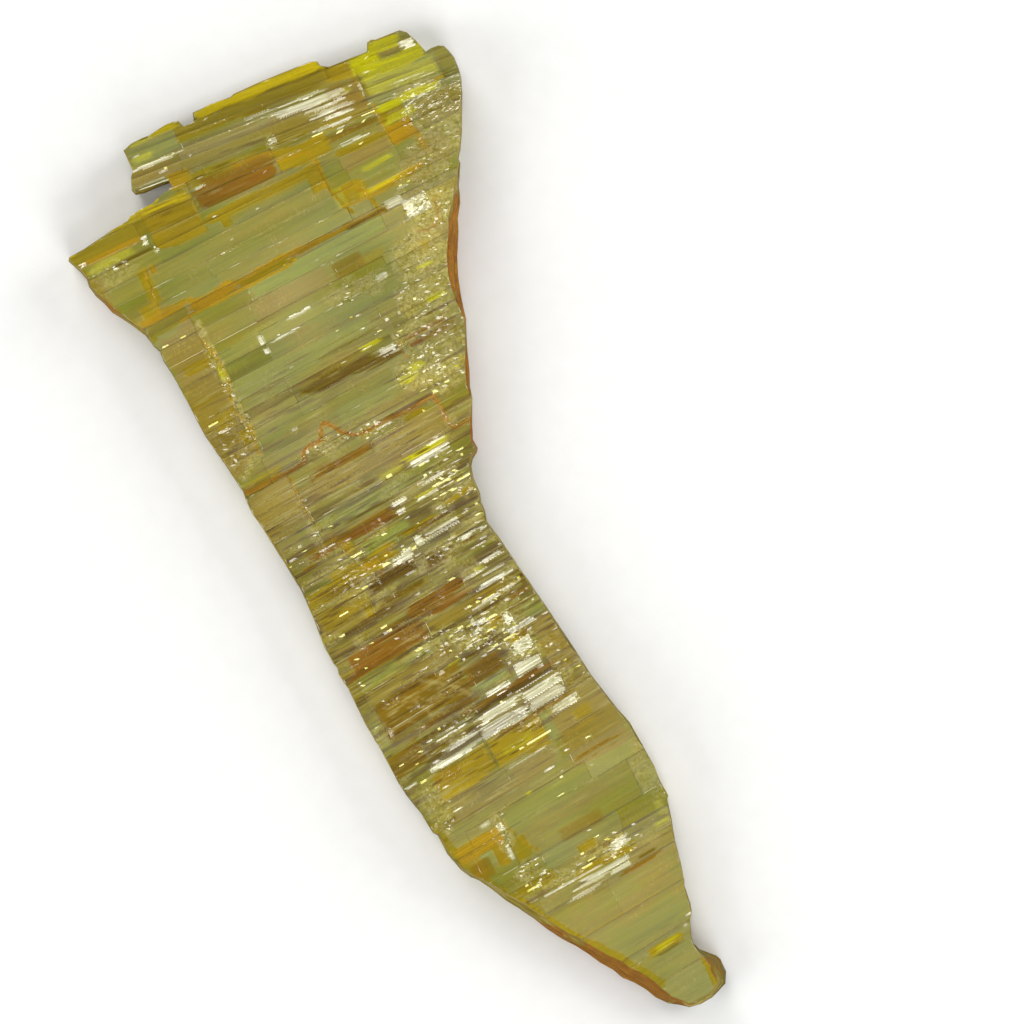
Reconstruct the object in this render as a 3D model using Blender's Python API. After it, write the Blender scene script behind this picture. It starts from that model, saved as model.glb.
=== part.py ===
# Orpiment blade: one cleavage slab of a layered arsenic sulphide crystal.
#
# The slab lies flat on its cleavage face.  X runs along the length, from the
# stepped head (-X) to the narrow tail (+X).  Y runs across the slab, along the
# striations.  Z is up.  The solid is drawn as a broken outline, extruded in
# layers with a weathered side wall, and its upper face is cut by planes along
# the striations into narrow ledges.  Each ledge has its own level and lean,
# and cross breaks step it up or down.

import math
import random

import bmesh
import bpy
from mathutils import Vector

# ---- driving dimensions, in millimetres -------------------------------------
MM = 0.001
LEDGE_CHAMFER = 0.07       # half width of the steep riser between two ledges
RIM_DROP = 0.12            # how far the outer rim is worn below the ledges
LEAN_SPREAD = 0.045        # largest random slope of a ledge across its width
BREAK_SPREAD = 0.10        # largest random step of a piece of a ledge
FOOT_INSET = 0.45          # undercut of the side wall at the resting face
HEAD_LIFT = 1.1            # height of the undercut below the thin head ledge
CRUMPLE_STEP = 0.13        # random step of the crumpled flakes
MERGE = 0.16               # corners closer than this become one
NODE = "orpiment_blade"

# Broken outline seen from above, anticlockwise: (x, y, width of sloping wall).
# The wall width is how far the upper rim stands back from the outline.
OUTLINE = [
    # notch between the head finger and the body, then the lower head corner
    (-40.60, -6.00, 0.08), (-40.04, -5.92, 0.08), (-39.70, -7.60, 0.12),
    (-39.40, -8.30, 0.12), (-39.40, -9.80, 0.12), (-39.20, -11.00, 0.12),
    (-38.95, -11.40, 0.15), (-38.85, -13.30, 0.22), (-38.40, -16.70, 0.30),
    (-38.30, -18.35, 0.25), (-37.90, -18.60, 0.25),
    # lower edge, from head to tail
    (-36.40, -18.00, 0.35), (-35.40, -17.75, 0.40), (-34.70, -17.90, 0.40),
    (-33.60, -17.70, 0.45), (-32.50, -17.25, 0.45), (-31.30, -16.90, 0.50),
    (-30.30, -16.25, 0.50), (-27.80, -14.90, 0.40), (-26.40, -14.60, 0.25),
    (-25.70, -14.30, 0.20), (-24.70, -14.40, 0.20), (-23.00, -14.20, 0.20),
    (-19.70, -14.05, 0.20), (-16.30, -13.95, 0.20), (-14.60, -13.75, 0.20),
    (-12.60, -13.40, 0.20), (-9.50, -13.00, 0.20), (-8.60, -13.12, 0.20),
    (-7.00, -13.10, 0.20), (-5.60, -12.85, 0.20), (-0.80, -12.35, 0.20),
    (2.00, -12.07, 0.20), (5.00, -12.20, 0.20), (8.10, -12.50, 0.20),
    (10.00, -12.40, 0.20), (10.60, -12.25, 0.20), (11.20, -12.40, 0.20),
    (13.00, -12.15, 0.20), (16.50, -12.20, 0.20), (20.30, -11.90, 0.20),
    (23.70, -11.77, 0.20), (25.10, -11.60, 0.25), (27.40, -11.10, 0.25),
    (29.60, -10.90, 0.25), (30.10, -10.55, 0.25), (32.20, -10.50, 0.30),
    (34.20, -10.00, 0.40), (35.40, -9.40, 0.50), (36.10, -8.80, 0.55),
    (37.40, -8.05, 0.70), (39.00, -7.30, 0.90), (40.30, -6.50, 1.00),
    (42.00, -5.50, 1.05), (43.60, -4.75, 1.15), (45.00, -3.90, 1.15),
    (46.20, -3.00, 1.15), (47.60, -2.15, 1.25), (48.70, -1.60, 1.40),
    (50.00, -0.70, 1.55), (51.20, -0.15, 1.60), (52.00, 0.58, 1.55),
    (53.20, 1.35, 1.45), (54.40, 1.95, 1.30), (55.50, 2.85, 1.05),
    (56.10, 3.80, 0.80), (56.75, 4.60, 0.60),
    # tail end and its low foot
    (56.97, 5.80, 0.55), (56.90, 7.10, 0.60), (56.50, 8.20, 0.80),
    (56.20, 9.00, 1.20), (55.20, 9.58, 1.60), (53.80, 9.60, 1.60),
    (53.30, 9.40, 1.40), (52.60, 8.75, 0.90), (51.90, 8.15, 0.40),
    # upper edge, from tail to head
    (51.10, 7.87, 0.15), (50.40, 7.95, 0.12), (48.80, 8.60, 0.12),
    (48.20, 9.05, 0.12), (47.40, 9.30, 0.12), (45.50, 9.55, 0.12),
    (45.00, 9.80, 0.12), (43.20, 10.25, 0.12), (41.00, 10.70, 0.12),
    (39.00, 11.30, 0.12), (36.85, 11.85, 0.12), (36.65, 12.08, 0.12),
    (35.00, 11.97, 0.12), (33.40, 12.10, 0.12), (28.30, 11.80, 0.12),
    (26.60, 11.30, 0.12), (22.30, 10.40, 0.12), (19.90, 10.15, 0.12),
    (14.40, 9.40, 0.12), (9.00, 8.60, 0.12), (6.10, 8.20, 0.15),
    (3.90, 7.80, 0.20), (2.90, 8.10, 0.25), (2.00, 8.10, 0.25),
    (1.10, 8.40, 0.25), (-0.60, 8.50, 0.30), (-1.70, 8.80, 0.35),
    (-2.25, 9.25, 0.45), (-2.70, 9.95, 0.55), (-3.10, 10.20, 0.50),
    (-4.10, 10.15, 0.35), (-5.80, 10.90, 0.20), (-7.80, 11.90, 0.20),
    (-9.00, 12.20, 0.40), (-10.40, 12.85, 0.50), (-12.70, 13.67, 0.25),
    (-15.20, 14.80, 0.20), (-17.30, 15.30, 0.75), (-19.50, 16.00, 1.05),
    (-21.30, 16.80, 1.05), (-23.50, 18.00, 1.05), (-24.70, 18.50, 1.05),
    (-26.00, 19.40, 0.90), (-27.70, 20.10, 0.45), (-29.50, 21.12, 0.20),
    (-30.00, 21.15, 0.15), (-30.70, 21.70, 0.12), (-32.40, 22.70, 0.12),
    (-35.80, 24.40, 0.12), (-37.20, 24.95, 0.12), (-38.20, 25.15, 0.12),
    (-39.30, 25.25, 0.12), (-40.20, 25.05, 0.12), (-40.85, 24.80, 0.12),
    (-41.15, 24.30, 0.12), (-41.25, 23.50, 0.10), (-41.10, 22.90, 0.08),
    # chipped corner and thin fringe of the head
    (-42.70, 22.50, 0.12), (-43.80, 22.05, 0.12), (-44.30, 21.50, 0.12),
    (-44.40, 20.30, 0.10), (-44.50, 18.90, 0.10), (-44.70, 18.50, 0.08),
    (-44.60, 18.00, 0.08), (-43.80, 17.60, 0.08), (-43.90, 15.50, 0.10),
    (-44.05, 13.50, 0.08), (-44.60, 12.75, 0.08), (-45.10, 12.70, 0.08),
    (-45.40, 12.00, 0.10), (-45.55, 10.00, 0.10), (-45.80, 6.50, 0.10),
    (-45.85, 3.70, 0.08), (-45.70, 3.25, 0.08), (-45.95, 1.20, 0.08),
    (-45.95, -0.85, 0.08), (-44.98, -1.15, 0.06), (-45.00, -2.20, 0.06),
    (-45.90, -2.50, 0.08), (-46.10, -3.60, 0.10), (-45.85, -6.00, 0.10),
    (-45.80, -7.80, 0.10), (-45.50, -8.75, 0.10), (-43.20, -8.80, 0.12),
    (-42.70, -9.25, 0.12), (-41.50, -9.75, 0.20), (-40.95, -9.60, 0.25),
    (-40.70, -8.70, 0.25),
]

# Direction of the striations: sideways run per millimetre of Y, along X.
STRIATION = [
    (-46, 0.09), (-40, 0.08), (-37, 0.02), (-34, -0.02), (-20, -0.04),
    (-5, -0.06), (10, -0.08), (22, -0.10), (30, -0.09), (40, -0.06),
    (50, -0.11), (57, -0.10),
]

# Ledges from head to tail: where each starts on the X axis, its level above
# the resting face, and the cross breaks as (y, step of all above that y).
LEDGES = [
    (-47.0, 2.30, []),
    (-45.0, 4.30, [(-3.2, 0.25), (12.9, -0.70), (17.8, -0.35)]),
    (-44.0, 4.95, [(-3.2, -0.20), (5.8, 0.15), (15.6, -1.10)]),
    (-42.7, 5.45, [(-3.9, 0.15), (5.8, -0.10), (15.6, -1.30)]),
    (-41.6, 5.80, [(-4.2, 0.15), (4.6, 0.20), (15.4, -0.90), (23.4, -0.25)]),
    (-40.4, 6.10, [(-2.4, 0.10), (4.6, -0.20), (15.4, -0.70), (23.4, -0.20)]),
    (-39.4, 5.85, [(-10.0, -0.20), (-4.5, -0.35), (4.6, 0.45), (15.7, -0.35), (23.2, 0.2)]),
    (-37.9, 5.75, [(-11.0, -0.25), (-4.8, -0.15), (4.6, 0.25), (15.8, 0.15)]),
    (-36.4, 5.95, [(-10.2, 0.20), (-5.0, -0.10), (10.1, 0.25), (15.8, -0.25), (18.5, 0.3)]),
    (-35.2, 6.25, [(-10.0, 0.15), (8.0, -0.25), (10.3, 0.25), (15.8, -0.40), (18.6, 0.4)]),
    (-33.7, 6.45, [(-12.1, 0.20), (8.1, -0.25), (10.5, 0.15), (16.0, 0.15)]),
    (-31.9, 6.50, [(-12.3, 0.20), (-6.1, 0.12), (8.5, -0.30), (11.2, 0.20)]),
    (-30.2, 6.45, [(-12.4, 0.15), (-5.7, 0.15), (8.9, -0.25), (11.3, 0.20)]),
    (-28.8, 6.05, [(-8.8, 0.20), (11.8, 0.35)]),
    (-27.9, 6.50, [(-10.0, 0.35), (-3.6, 0.12), (11.6, -0.10), (14.0, 0.2)]),
    (-26.2, 6.40, [(-10.0, 0.35), (-4.2, 0.10), (5.2, 0.12), (13.2, -0.10)]),
    (-24.2, 6.32, [(-9.8, 0.35), (10.0, 0.12)]),
    (-23.2, 6.38, [(-9.8, 0.30), (-4.4, 0.18), (8.0, -0.15), (13.0, 0.12)]),
    (-21.9, 6.30, [(-9.6, 0.30), (-4.4, 0.20), (7.2, 0.12), (13.4, -0.1)]),
    (-20.1, 6.42, [(-9.4, 0.35), (7.2, 0.08)]),
    (-18.1, 6.30, [(-9.7, 0.35), (-4.2, -0.10), (7.8, 0.15), (11.8, 0.1)]),
    (-16.9, 6.10, [(-10.0, 0.30), (-4.1, -0.12), (7.2, 0.20)]),
    (-16.1, 5.95, [(-9.9, 0.25), (-4.0, -0.30), (7.4, 0.45)]),
    (-15.2, 6.25, [(-9.6, 0.30), (-4.0, 0.10), (8.1, 0.15)]),
    (-13.9, 6.38, [(-9.2, 0.30), (5.8, -0.25), (8.9, 0.30)]),
    (-12.0, 6.40, [(-9.8, 0.35), (-3.6, -0.30), (-2.0, 0.30), (6.0, 0.1)]),
    (-10.3, 6.15, [(-9.8, 0.20), (-5.8, -0.20), (-0.5, 0.15), (8.4, 0.30)]),
    (-9.4, 6.25, [(-8.2, 0.30), (1.0, 0.10), (8.5, 0.20)]),
    (-8.3, 6.15, [(-8.2, 0.35), (-6.2, -0.35), (0.7, 0.35), (8.5, 0.1)]),
    (-7.2, 6.30, [(-8.0, 0.35), (8.6, 0.10)]),
    (-5.6, 6.22, [(-8.0, 0.35), (3.0, 0.15), (7.9, -0.10)]),
    (-4.2, 6.25, [(-8.0, 0.30), (2.0, -0.12), (6.8, 0.15)]),
    (-2.5, 6.12, [(-8.2, 0.25), (0.0, 0.10), (4.4, -0.10)]),
    (-1.4, 5.95, [(-7.2, 0.15), (-3.5, -0.15), (0.6, 0.30), (4.8, 0.1)]),
    (-0.2, 6.08, [(-9.6, 0.20), (-6.4, 0.15), (4.8, 0.10)]),
    (1.0, 5.92, [(-8.6, 0.15), (-1.0, -0.10), (4.3, 0.20)]),
    (1.9, 6.00, [(-7.4, 0.20), (-3.6, -0.25), (0.4, 0.25), (6.0, 0.1)]),
    (3.3, 5.92, [(-6.4, 0.15), (-2.6, -0.20), (0.2, 0.25), (3.8, 0.1)]),
    (4.3, 5.80, [(-6.2, -0.25), (-0.6, 0.25), (2.0, 0.10), (6.2, 0.1)]),
    (5.9, 5.85, [(-6.4, -0.15), (0.2, 0.15), (4.2, 0.10)]),
    (7.4, 5.75, [(-9.0, 0.15), (-1.9, 0.08), (3.0, 0.15)]),
    (8.9, 5.60, [(-4.6, 0.12), (2.9, 0.25)]),
    (10.2, 5.62, [(-10.8, -0.10), (-2.2, 0.20), (3.2, 0.10)]),
    (11.9, 5.75, [(-11.0, 0.10), (-1.6, -0.10), (4.4, 0.15)]),
    (13.2, 5.70, [(-10.9, 0.12), (-3.2, -0.08), (1.2, 0.15), (5.2, 0.1)]),
    (14.9, 5.45, [(-10.6, -0.25), (-3.6, 0.12), (3.0, 0.30), (6.6, 0.1)]),
    (17.5, 5.40, [(-10.4, -0.20), (-0.4, 0.10), (3.3, 0.30), (6.8, 0.1)]),
    (19.6, 5.30, [(-8.6, -0.15), (-1.6, -0.10), (7.2, 0.40)]),
    (20.8, 5.78, [(-7.6, 0.15), (-2.1, 0.15), (3.4, 0.10), (7.6, -0.1)]),
    (21.7, 5.85, [(-8.0, 0.15), (-2.2, 0.18), (3.5, 0.12), (7.6, -0.1)]),
    (23.5, 5.80, [(-9.4, 0.15), (-2.0, 0.15), (3.9, -0.20), (4.8, 0.2)]),
    (26.6, 5.70, [(-8.8, 0.15), (-1.5, 0.08), (4.2, 0.12)]),
    (28.9, 5.60, [(-9.0, 0.12), (-3.0, 0.08), (5.0, 0.10)]),
    (30.2, 5.55, [(-7.8, -0.10), (-4.0, 0.30), (6.0, 0.08)]),
    (32.2, 5.50, [(-8.2, -0.15), (-4.3, 0.45), (9.8, -0.08)]),
    (36.0, 5.35, [(-6.8, 0.12), (-2.0, 0.10), (6.6, 0.08)]),
    (38.0, 5.22, [(-4.2, 0.08), (0.8, 0.10), (6.4, -0.15)]),
    (39.9, 5.25, [(-4.2, 0.10), (5.6, -0.20)]),
    (41.6, 5.12, [(2.8, 0.10)]),
    (45.5, 5.02, []),
    (49.5, 4.85, [(3.1, -0.10)]),
    (50.6, 4.85, []),
    (53.4, 4.72, []),
]

# Upper margin where the ledges are crumpled into flakes: (x, lowest y).
CRUMPLE_LOW = [(-38, 19.0), (-33, 16.5), (-28, 13.0), (-24, 9.5), (-16, 8.8), (-11, 7.4), (-9, 30.0)]
CRUMPLE_BREAKS = [1.3, 2.9, 4.3, 6.2, 8.0]

# Side wall, from the resting face up: (share of the height, share of the
# undercut, share of the sloping wall, random wander in mm).
WALL_LAYERS = [
    (0.00, 1.00, 0.00, 0.00),
    (0.10, 0.55, 0.00, 0.06),
    (0.27, 0.35, 0.02, 0.06),
    (0.31, 0.12, 0.02, 0.05),
    (0.52, 0.00, 0.08, 0.04),
    (0.56, 0.00, 0.22, 0.04),
    (0.78, 0.00, 0.45, 0.03),
    (0.93, 0.00, 1.00, 0.00),
]

# Striation lines that cut the resting face, where they cross the X axis.
BASE_CUTS = [-42.6, -40.3, -27.6, -22.4, -9.0, -4.5, 13.4, 16.8, 24.0, 26.2, 33.0, 37.5, 47.0]
# Shallow recesses of the resting face between two of those lines:
# (x from, x to, y from, y to, lift).
BASE_RECESS = [
    (-50.0, -42.6, -30.0, 30.0, HEAD_LIFT),
    (-42.6, -40.3, -30.0, -3.0, 0.90),
    (-27.6, -22.4, -30.0, 2.0, 0.18),
    (-9.0, -4.5, 7.5, 30.0, 0.16),
    (13.4, 16.8, -30.0, -3.0, 0.22),
    (24.0, 26.2, 5.5, 30.0, 0.14),
    (33.0, 37.5, -2.5, 30.0, 0.20),
    (47.0, 60.0, -30.0, 30.0, 0.25),
]


def along(points, x):
    """Straight-line value between hand-set (x, value) points."""
    if x <= points[0][0]:
        return points[0][1]
    for (x0, v0), (x1, v1) in zip(points, points[1:]):
        if x <= x1:
            return v0 + (v1 - v0) * (x - x0) / (x1 - x0)
    return points[-1][1]


def line_x(start, y):
    """X of the striation line that crosses the axis at start."""
    return start + y * along(STRIATION, start)


def ledge_index(x, y):
    """Which ledge a point of the upper face lies on."""
    found = 0
    for i, (start, _, _) in enumerate(LEDGES):
        if x > line_x(start, y):
            found = i
    return found


def piece_index(i, y):
    """Which piece of ledge i lies at y, counted from the lowest."""
    return sum(1 for cut, _ in LEDGES[i][2] if y > cut)


def ledge_plane(i, piece):
    """Level and slopes of one piece of a ledge, always the same for it."""
    draw = random.Random(1000 * i + piece + 7)
    level = LEDGES[i][1]
    steps = [step for _, step in LEDGES[i][2]]
    # the level given is that of the piece which holds y = 0
    home = piece_index(i, 0.0)
    if piece > home:
        level += sum(steps[home:piece])
    if piece < home:
        level -= sum(steps[piece:home])
    level += draw.uniform(-0.3, 0.3) * BREAK_SPREAD
    lean_x = draw.uniform(-1, 1) * LEAN_SPREAD
    lean_y = draw.uniform(-1, 1) * 0.006
    return level, lean_x, lean_y


def flake_index(x, y):
    """Number of the crumpled flake at a point, or 0 outside the margin."""
    low = along(CRUMPLE_LOW, x)
    if y < low:
        return 0
    return 1 + sum(1 for gap in CRUMPLE_BREAKS if y > low + gap)


def surface(x, y, at_x, at_y):
    """Height at (x, y) of the face whose middle is (at_x, at_y)."""
    i = ledge_index(at_x, at_y)
    level, lean_x, lean_y = ledge_plane(i, piece_index(i, at_y))
    start = LEDGES[i][0]
    end = LEDGES[i + 1][0] if i + 1 < len(LEDGES) else 57.0
    middle = line_x(0.5 * (max(start, -46.0) + end), y)
    height = level + lean_x * (x - middle) + lean_y * y
    flake = flake_index(at_x, at_y)
    if flake:
        draw = random.Random(5000 + 31 * i + flake)
        height += draw.uniform(-1, 1) * CRUMPLE_STEP
        height += draw.uniform(-0.07, 0.07) * (x - at_x)
        height += draw.uniform(-0.07, 0.07) * (y - at_y)
    return height


def outward(points):
    """Outward direction at every point of an anticlockwise outline."""
    found = []
    for i, here in enumerate(points):
        before = points[i - 1]
        after = points[(i + 1) % len(points)]
        first = Vector((here[1] - before[1], before[0] - here[0])).normalized()
        second = Vector((after[1] - here[1], here[0] - after[0])).normalized()
        both = first + second
        if both.length < 0.3:
            both = first
        found.append(both.normalized())
    return found


def base_lift(x, y):
    """How far the resting face is recessed at a point."""
    for x0, x1, y0, y1, lift in BASE_RECESS:
        if line_x(x0, y) <= x <= line_x(x1, y) and y0 <= y <= y1:
            return lift
    return 0.0


def build_layers(bm):
    """Loft the outline upward through the layers of the side wall."""
    away = outward([(x, y) for x, y, _ in OUTLINE])
    wander = random.Random(41)
    rings = []
    for rise, under, slope, loose in WALL_LAYERS:
        ring = []
        for (x, y, width), out in zip(OUTLINE, away):
            undercut = FOOT_INSET * (0.3 if width <= 0.12 else 1.0)
            if width > 0.6:
                undercut = 0.12
            inset = under * undercut + slope * width + loose * wander.uniform(0, 1)
            top = surface(x, y, x - 0.3 * out.x, y - 0.3 * out.y)
            low = base_lift(x, y)
            height = low + rise * (top - low)
            ring.append(bm.verts.new(Vector((x - out.x * inset, y - out.y * inset, height)) * MM))
        rings.append(ring)
    walls = []
    for lower, upper in zip(rings, rings[1:]):
        for i in range(len(lower)):
            j = (i + 1) % len(lower)
            walls.append(bm.faces.new((lower[i], lower[j], upper[j], upper[i])))
    base = bm.faces.new(list(reversed(rings[0])))
    cap = bm.faces.new(rings[-1])
    return base, cap, set(walls)


def pieces_of(bm, faces, point, normal):
    """Cut the faces by an upright plane and return all the pieces."""
    edges = list({e for f in faces for e in f.edges})
    verts = list({v for f in faces for v in f.verts})
    out = bmesh.ops.bisect_plane(bm, geom=faces + edges + verts, dist=1e-9,
                                 plane_co=point, plane_no=normal.normalized())
    return [g for g in out["geom"] if isinstance(g, bmesh.types.BMFace)]


def cut(bm, faces, start):
    """Cut the faces along one striation line."""
    lean = along(STRIATION, start)
    return pieces_of(bm, faces, Vector((start, 0, 0)) * MM, Vector((1.0, -lean, 0.0)))


def cut_across(bm, faces, y, slant):
    """Cut the faces along one cross break."""
    middle = sum((f.calc_center_median() for f in faces), Vector()) / len(faces)
    return pieces_of(bm, faces, Vector((middle.x, y * MM, 0)), Vector((slant, 1.0, 0.0)))


def flat_middle(face):
    """Middle of a face in plan, in millimetres, weighted by its area."""
    area = 0.0
    cx = 0.0
    cy = 0.0
    corners = [v.co for v in face.verts]
    for i, here in enumerate(corners):
        after = corners[(i + 1) % len(corners)]
        cross = here.x * after.y - after.x * here.y
        area += cross
        cx += (here.x + after.x) * cross
        cy += (here.y + after.y) * cross
    return cx / (3.0 * area) / MM, cy / (3.0 * area) / MM


def build_ledges(bm, cap):
    """Cut the upper face into ledges and pieces, then set their heights."""
    for vert in cap.verts:
        vert.co.z = 6.0 * MM
    faces = [cap]
    for start, _, _ in LEDGES[1:]:
        faces = cut(bm, faces, start)
    groups = {}
    for face in faces:
        x, y = flat_middle(face)
        groups.setdefault(ledge_index(x, y), []).append(face)
    pieces = []
    for i, group in sorted(groups.items()):
        for number, (y, _) in enumerate(LEDGES[i][2]):
            slant = random.Random(90 * i + number).uniform(-0.25, 0.25)
            group = cut_across(bm, group, y, slant)
        x_low = min(v.co.x for f in group for v in f.verts) / MM
        low = along(CRUMPLE_LOW, 0.5 * (x_low + max(v.co.x for f in group for v in f.verts) / MM))
        for gap in [0.0] + CRUMPLE_BREAKS:
            top = max(v.co.y for f in group for v in f.verts) / MM
            if low + gap < top - 0.8:
                group = cut_across(bm, group, low + gap, 0.0)
        pieces.extend(group)
    # corners that all but touch become one corner
    corners = list({v for f in pieces for v in f.verts})
    bmesh.ops.remove_doubles(bm, verts=corners, dist=MERGE * MM)
    return [f for f in pieces if f.is_valid]


def chamfer(bm, pieces, shared):
    """Set each piece in from its outline, less where the piece is narrow."""
    for face in pieces:
        width = 2.0 * face.calc_area() / sum(e.calc_length() for e in face.edges) / MM
        inset = min(LEDGE_CHAMFER, 0.22 * width)
        bmesh.ops.inset_individual(bm, faces=[face], thickness=inset * MM, use_even_offset=True)
        for vert in face.verts:
            # at a sharp corner keep the inset corner close to the old one
            old = [e.other_vert(vert) for e in vert.link_edges if e.other_vert(vert) in shared][0]
            move = vert.co - old.co
            reach = 2.0 * inset * MM
            if move.length > reach:
                vert.co = old.co + move * (reach / move.length)


def set_heights(bm, pieces, walls):
    """Give every ledge piece its own plane, with a steep riser around it."""
    middles = [flat_middle(f) for f in pieces]
    shared = {}
    for face, (mx, my) in zip(pieces, middles):
        for vert in face.verts:
            shared.setdefault(vert, []).append(surface(vert.co.x / MM, vert.co.y / MM, mx, my))
    rim = {v for v in shared if any(f in walls for f in v.link_faces)}
    chamfer(bm, pieces, shared)
    for vert, heights in shared.items():
        height = sum(heights) / len(heights)
        if vert in rim:
            height = min(heights) - RIM_DROP
        vert.co.z = height * MM
    for face, (mx, my) in zip(pieces, middles):
        for vert in face.verts:
            vert.co.z = surface(vert.co.x / MM, vert.co.y / MM, mx, my) * MM


def build_base(bm, base):
    """Cut the resting face and lift its shallow recesses."""
    faces = [base]
    for start in BASE_CUTS:
        faces = cut(bm, faces, start)
    for x0, x1, y0, y1, _ in BASE_RECESS:
        for y in (y0, y1):
            if abs(y) < 30.0:
                middles = {f: flat_middle(f) for f in faces}
                chosen = [f for f in faces
                          if line_x(x0, middles[f][1]) < middles[f][0] < line_x(x1, middles[f][1])]
                faces = [f for f in faces if f not in chosen] + cut_across(bm, chosen, y, 0.15)
    lifts = [base_lift(*flat_middle(f)) for f in faces]
    raised = [(f, lift) for f, lift in zip(faces, lifts) if lift > 0]
    resting = {v for f, lift in zip(faces, lifts) if lift == 0 for v in f.verts}
    bmesh.ops.inset_individual(bm, faces=[f for f, _ in raised], thickness=0.12 * MM,
                               use_even_offset=True)
    for face, lift in raised:
        for vert in face.verts:
            vert.co.z = lift * MM
    for vert in resting:
        vert.co.z = 0.0


def main():
    for old in list(bpy.data.objects):
        bpy.data.objects.remove(old, do_unlink=True)
    bm = bmesh.new()
    base, cap, walls = build_layers(bm)
    pieces = build_ledges(bm, cap)
    set_heights(bm, pieces, walls)
    build_base(bm, base)
    bmesh.ops.triangulate(bm, faces=list(bm.faces), quad_method="BEAUTY", ngon_method="BEAUTY")
    bmesh.ops.recalc_face_normals(bm, faces=list(bm.faces))
    # put the origin at the middle of the footprint, on the resting face
    xs = [v.co.x for v in bm.verts]
    ys = [v.co.y for v in bm.verts]
    zs = [v.co.z for v in bm.verts]
    shift = Vector((0.5 * (min(xs) + max(xs)), 0.5 * (min(ys) + max(ys)), min(zs)))
    bmesh.ops.translate(bm, verts=list(bm.verts), vec=-shift)
    mesh = bpy.data.meshes.new(NODE)
    bm.to_mesh(mesh)
    bm.free()
    blade = bpy.data.objects.new(NODE, mesh)
    home = bpy.data.collections.new("orpiment specimen")
    bpy.context.scene.collection.children.link(home)
    home.objects.link(blade)
    stone = bpy.data.materials.new("orpiment cleavage")
    stone.use_nodes = True
    shader = stone.node_tree.nodes["Principled BSDF"]
    shader.inputs["Base Color"].default_value = (0.36, 0.27, 0.05, 1.0)
    shader.inputs["Roughness"].default_value = 0.28
    shader.inputs["IOR"].default_value = 2.4
    mesh.materials.append(stone)


main()
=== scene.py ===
# %% [markdown]
# # Orpiment blade
# Orpiment is arsenic sulphide.  It splits like mica into thin bendable sheets, and a
# broken block of it becomes a flat blade with stepped, striated faces.  The frame is
# loaded first, so that every piece sits where the solid model says.

# %% Load the frame
import random
import bmesh
import bpy
import numpy as np
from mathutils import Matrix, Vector


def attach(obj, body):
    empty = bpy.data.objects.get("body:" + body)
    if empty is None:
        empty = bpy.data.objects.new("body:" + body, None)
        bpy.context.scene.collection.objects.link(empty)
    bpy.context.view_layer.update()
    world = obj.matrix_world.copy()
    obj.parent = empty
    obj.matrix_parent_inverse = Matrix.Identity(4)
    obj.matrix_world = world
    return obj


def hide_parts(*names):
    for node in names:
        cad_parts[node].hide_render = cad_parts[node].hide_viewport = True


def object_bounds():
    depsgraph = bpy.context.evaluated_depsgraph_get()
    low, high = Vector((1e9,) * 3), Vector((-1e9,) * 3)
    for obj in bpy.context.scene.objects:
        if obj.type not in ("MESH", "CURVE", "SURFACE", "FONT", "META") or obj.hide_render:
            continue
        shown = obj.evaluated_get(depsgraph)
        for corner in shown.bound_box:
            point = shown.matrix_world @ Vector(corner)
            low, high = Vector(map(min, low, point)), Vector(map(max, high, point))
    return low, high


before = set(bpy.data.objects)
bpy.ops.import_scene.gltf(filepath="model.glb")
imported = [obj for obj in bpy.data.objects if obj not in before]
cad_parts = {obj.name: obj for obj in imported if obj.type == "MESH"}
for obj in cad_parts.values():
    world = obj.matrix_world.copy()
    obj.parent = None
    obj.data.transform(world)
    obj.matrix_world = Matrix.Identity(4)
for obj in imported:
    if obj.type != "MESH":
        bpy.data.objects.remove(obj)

CAD_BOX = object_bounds()
NODE = "orpiment_blade"
MM = 0.001
print("solid model box in mm:", [[round(1000 * c, 2) for c in p] for p in CAD_BOX])
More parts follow.
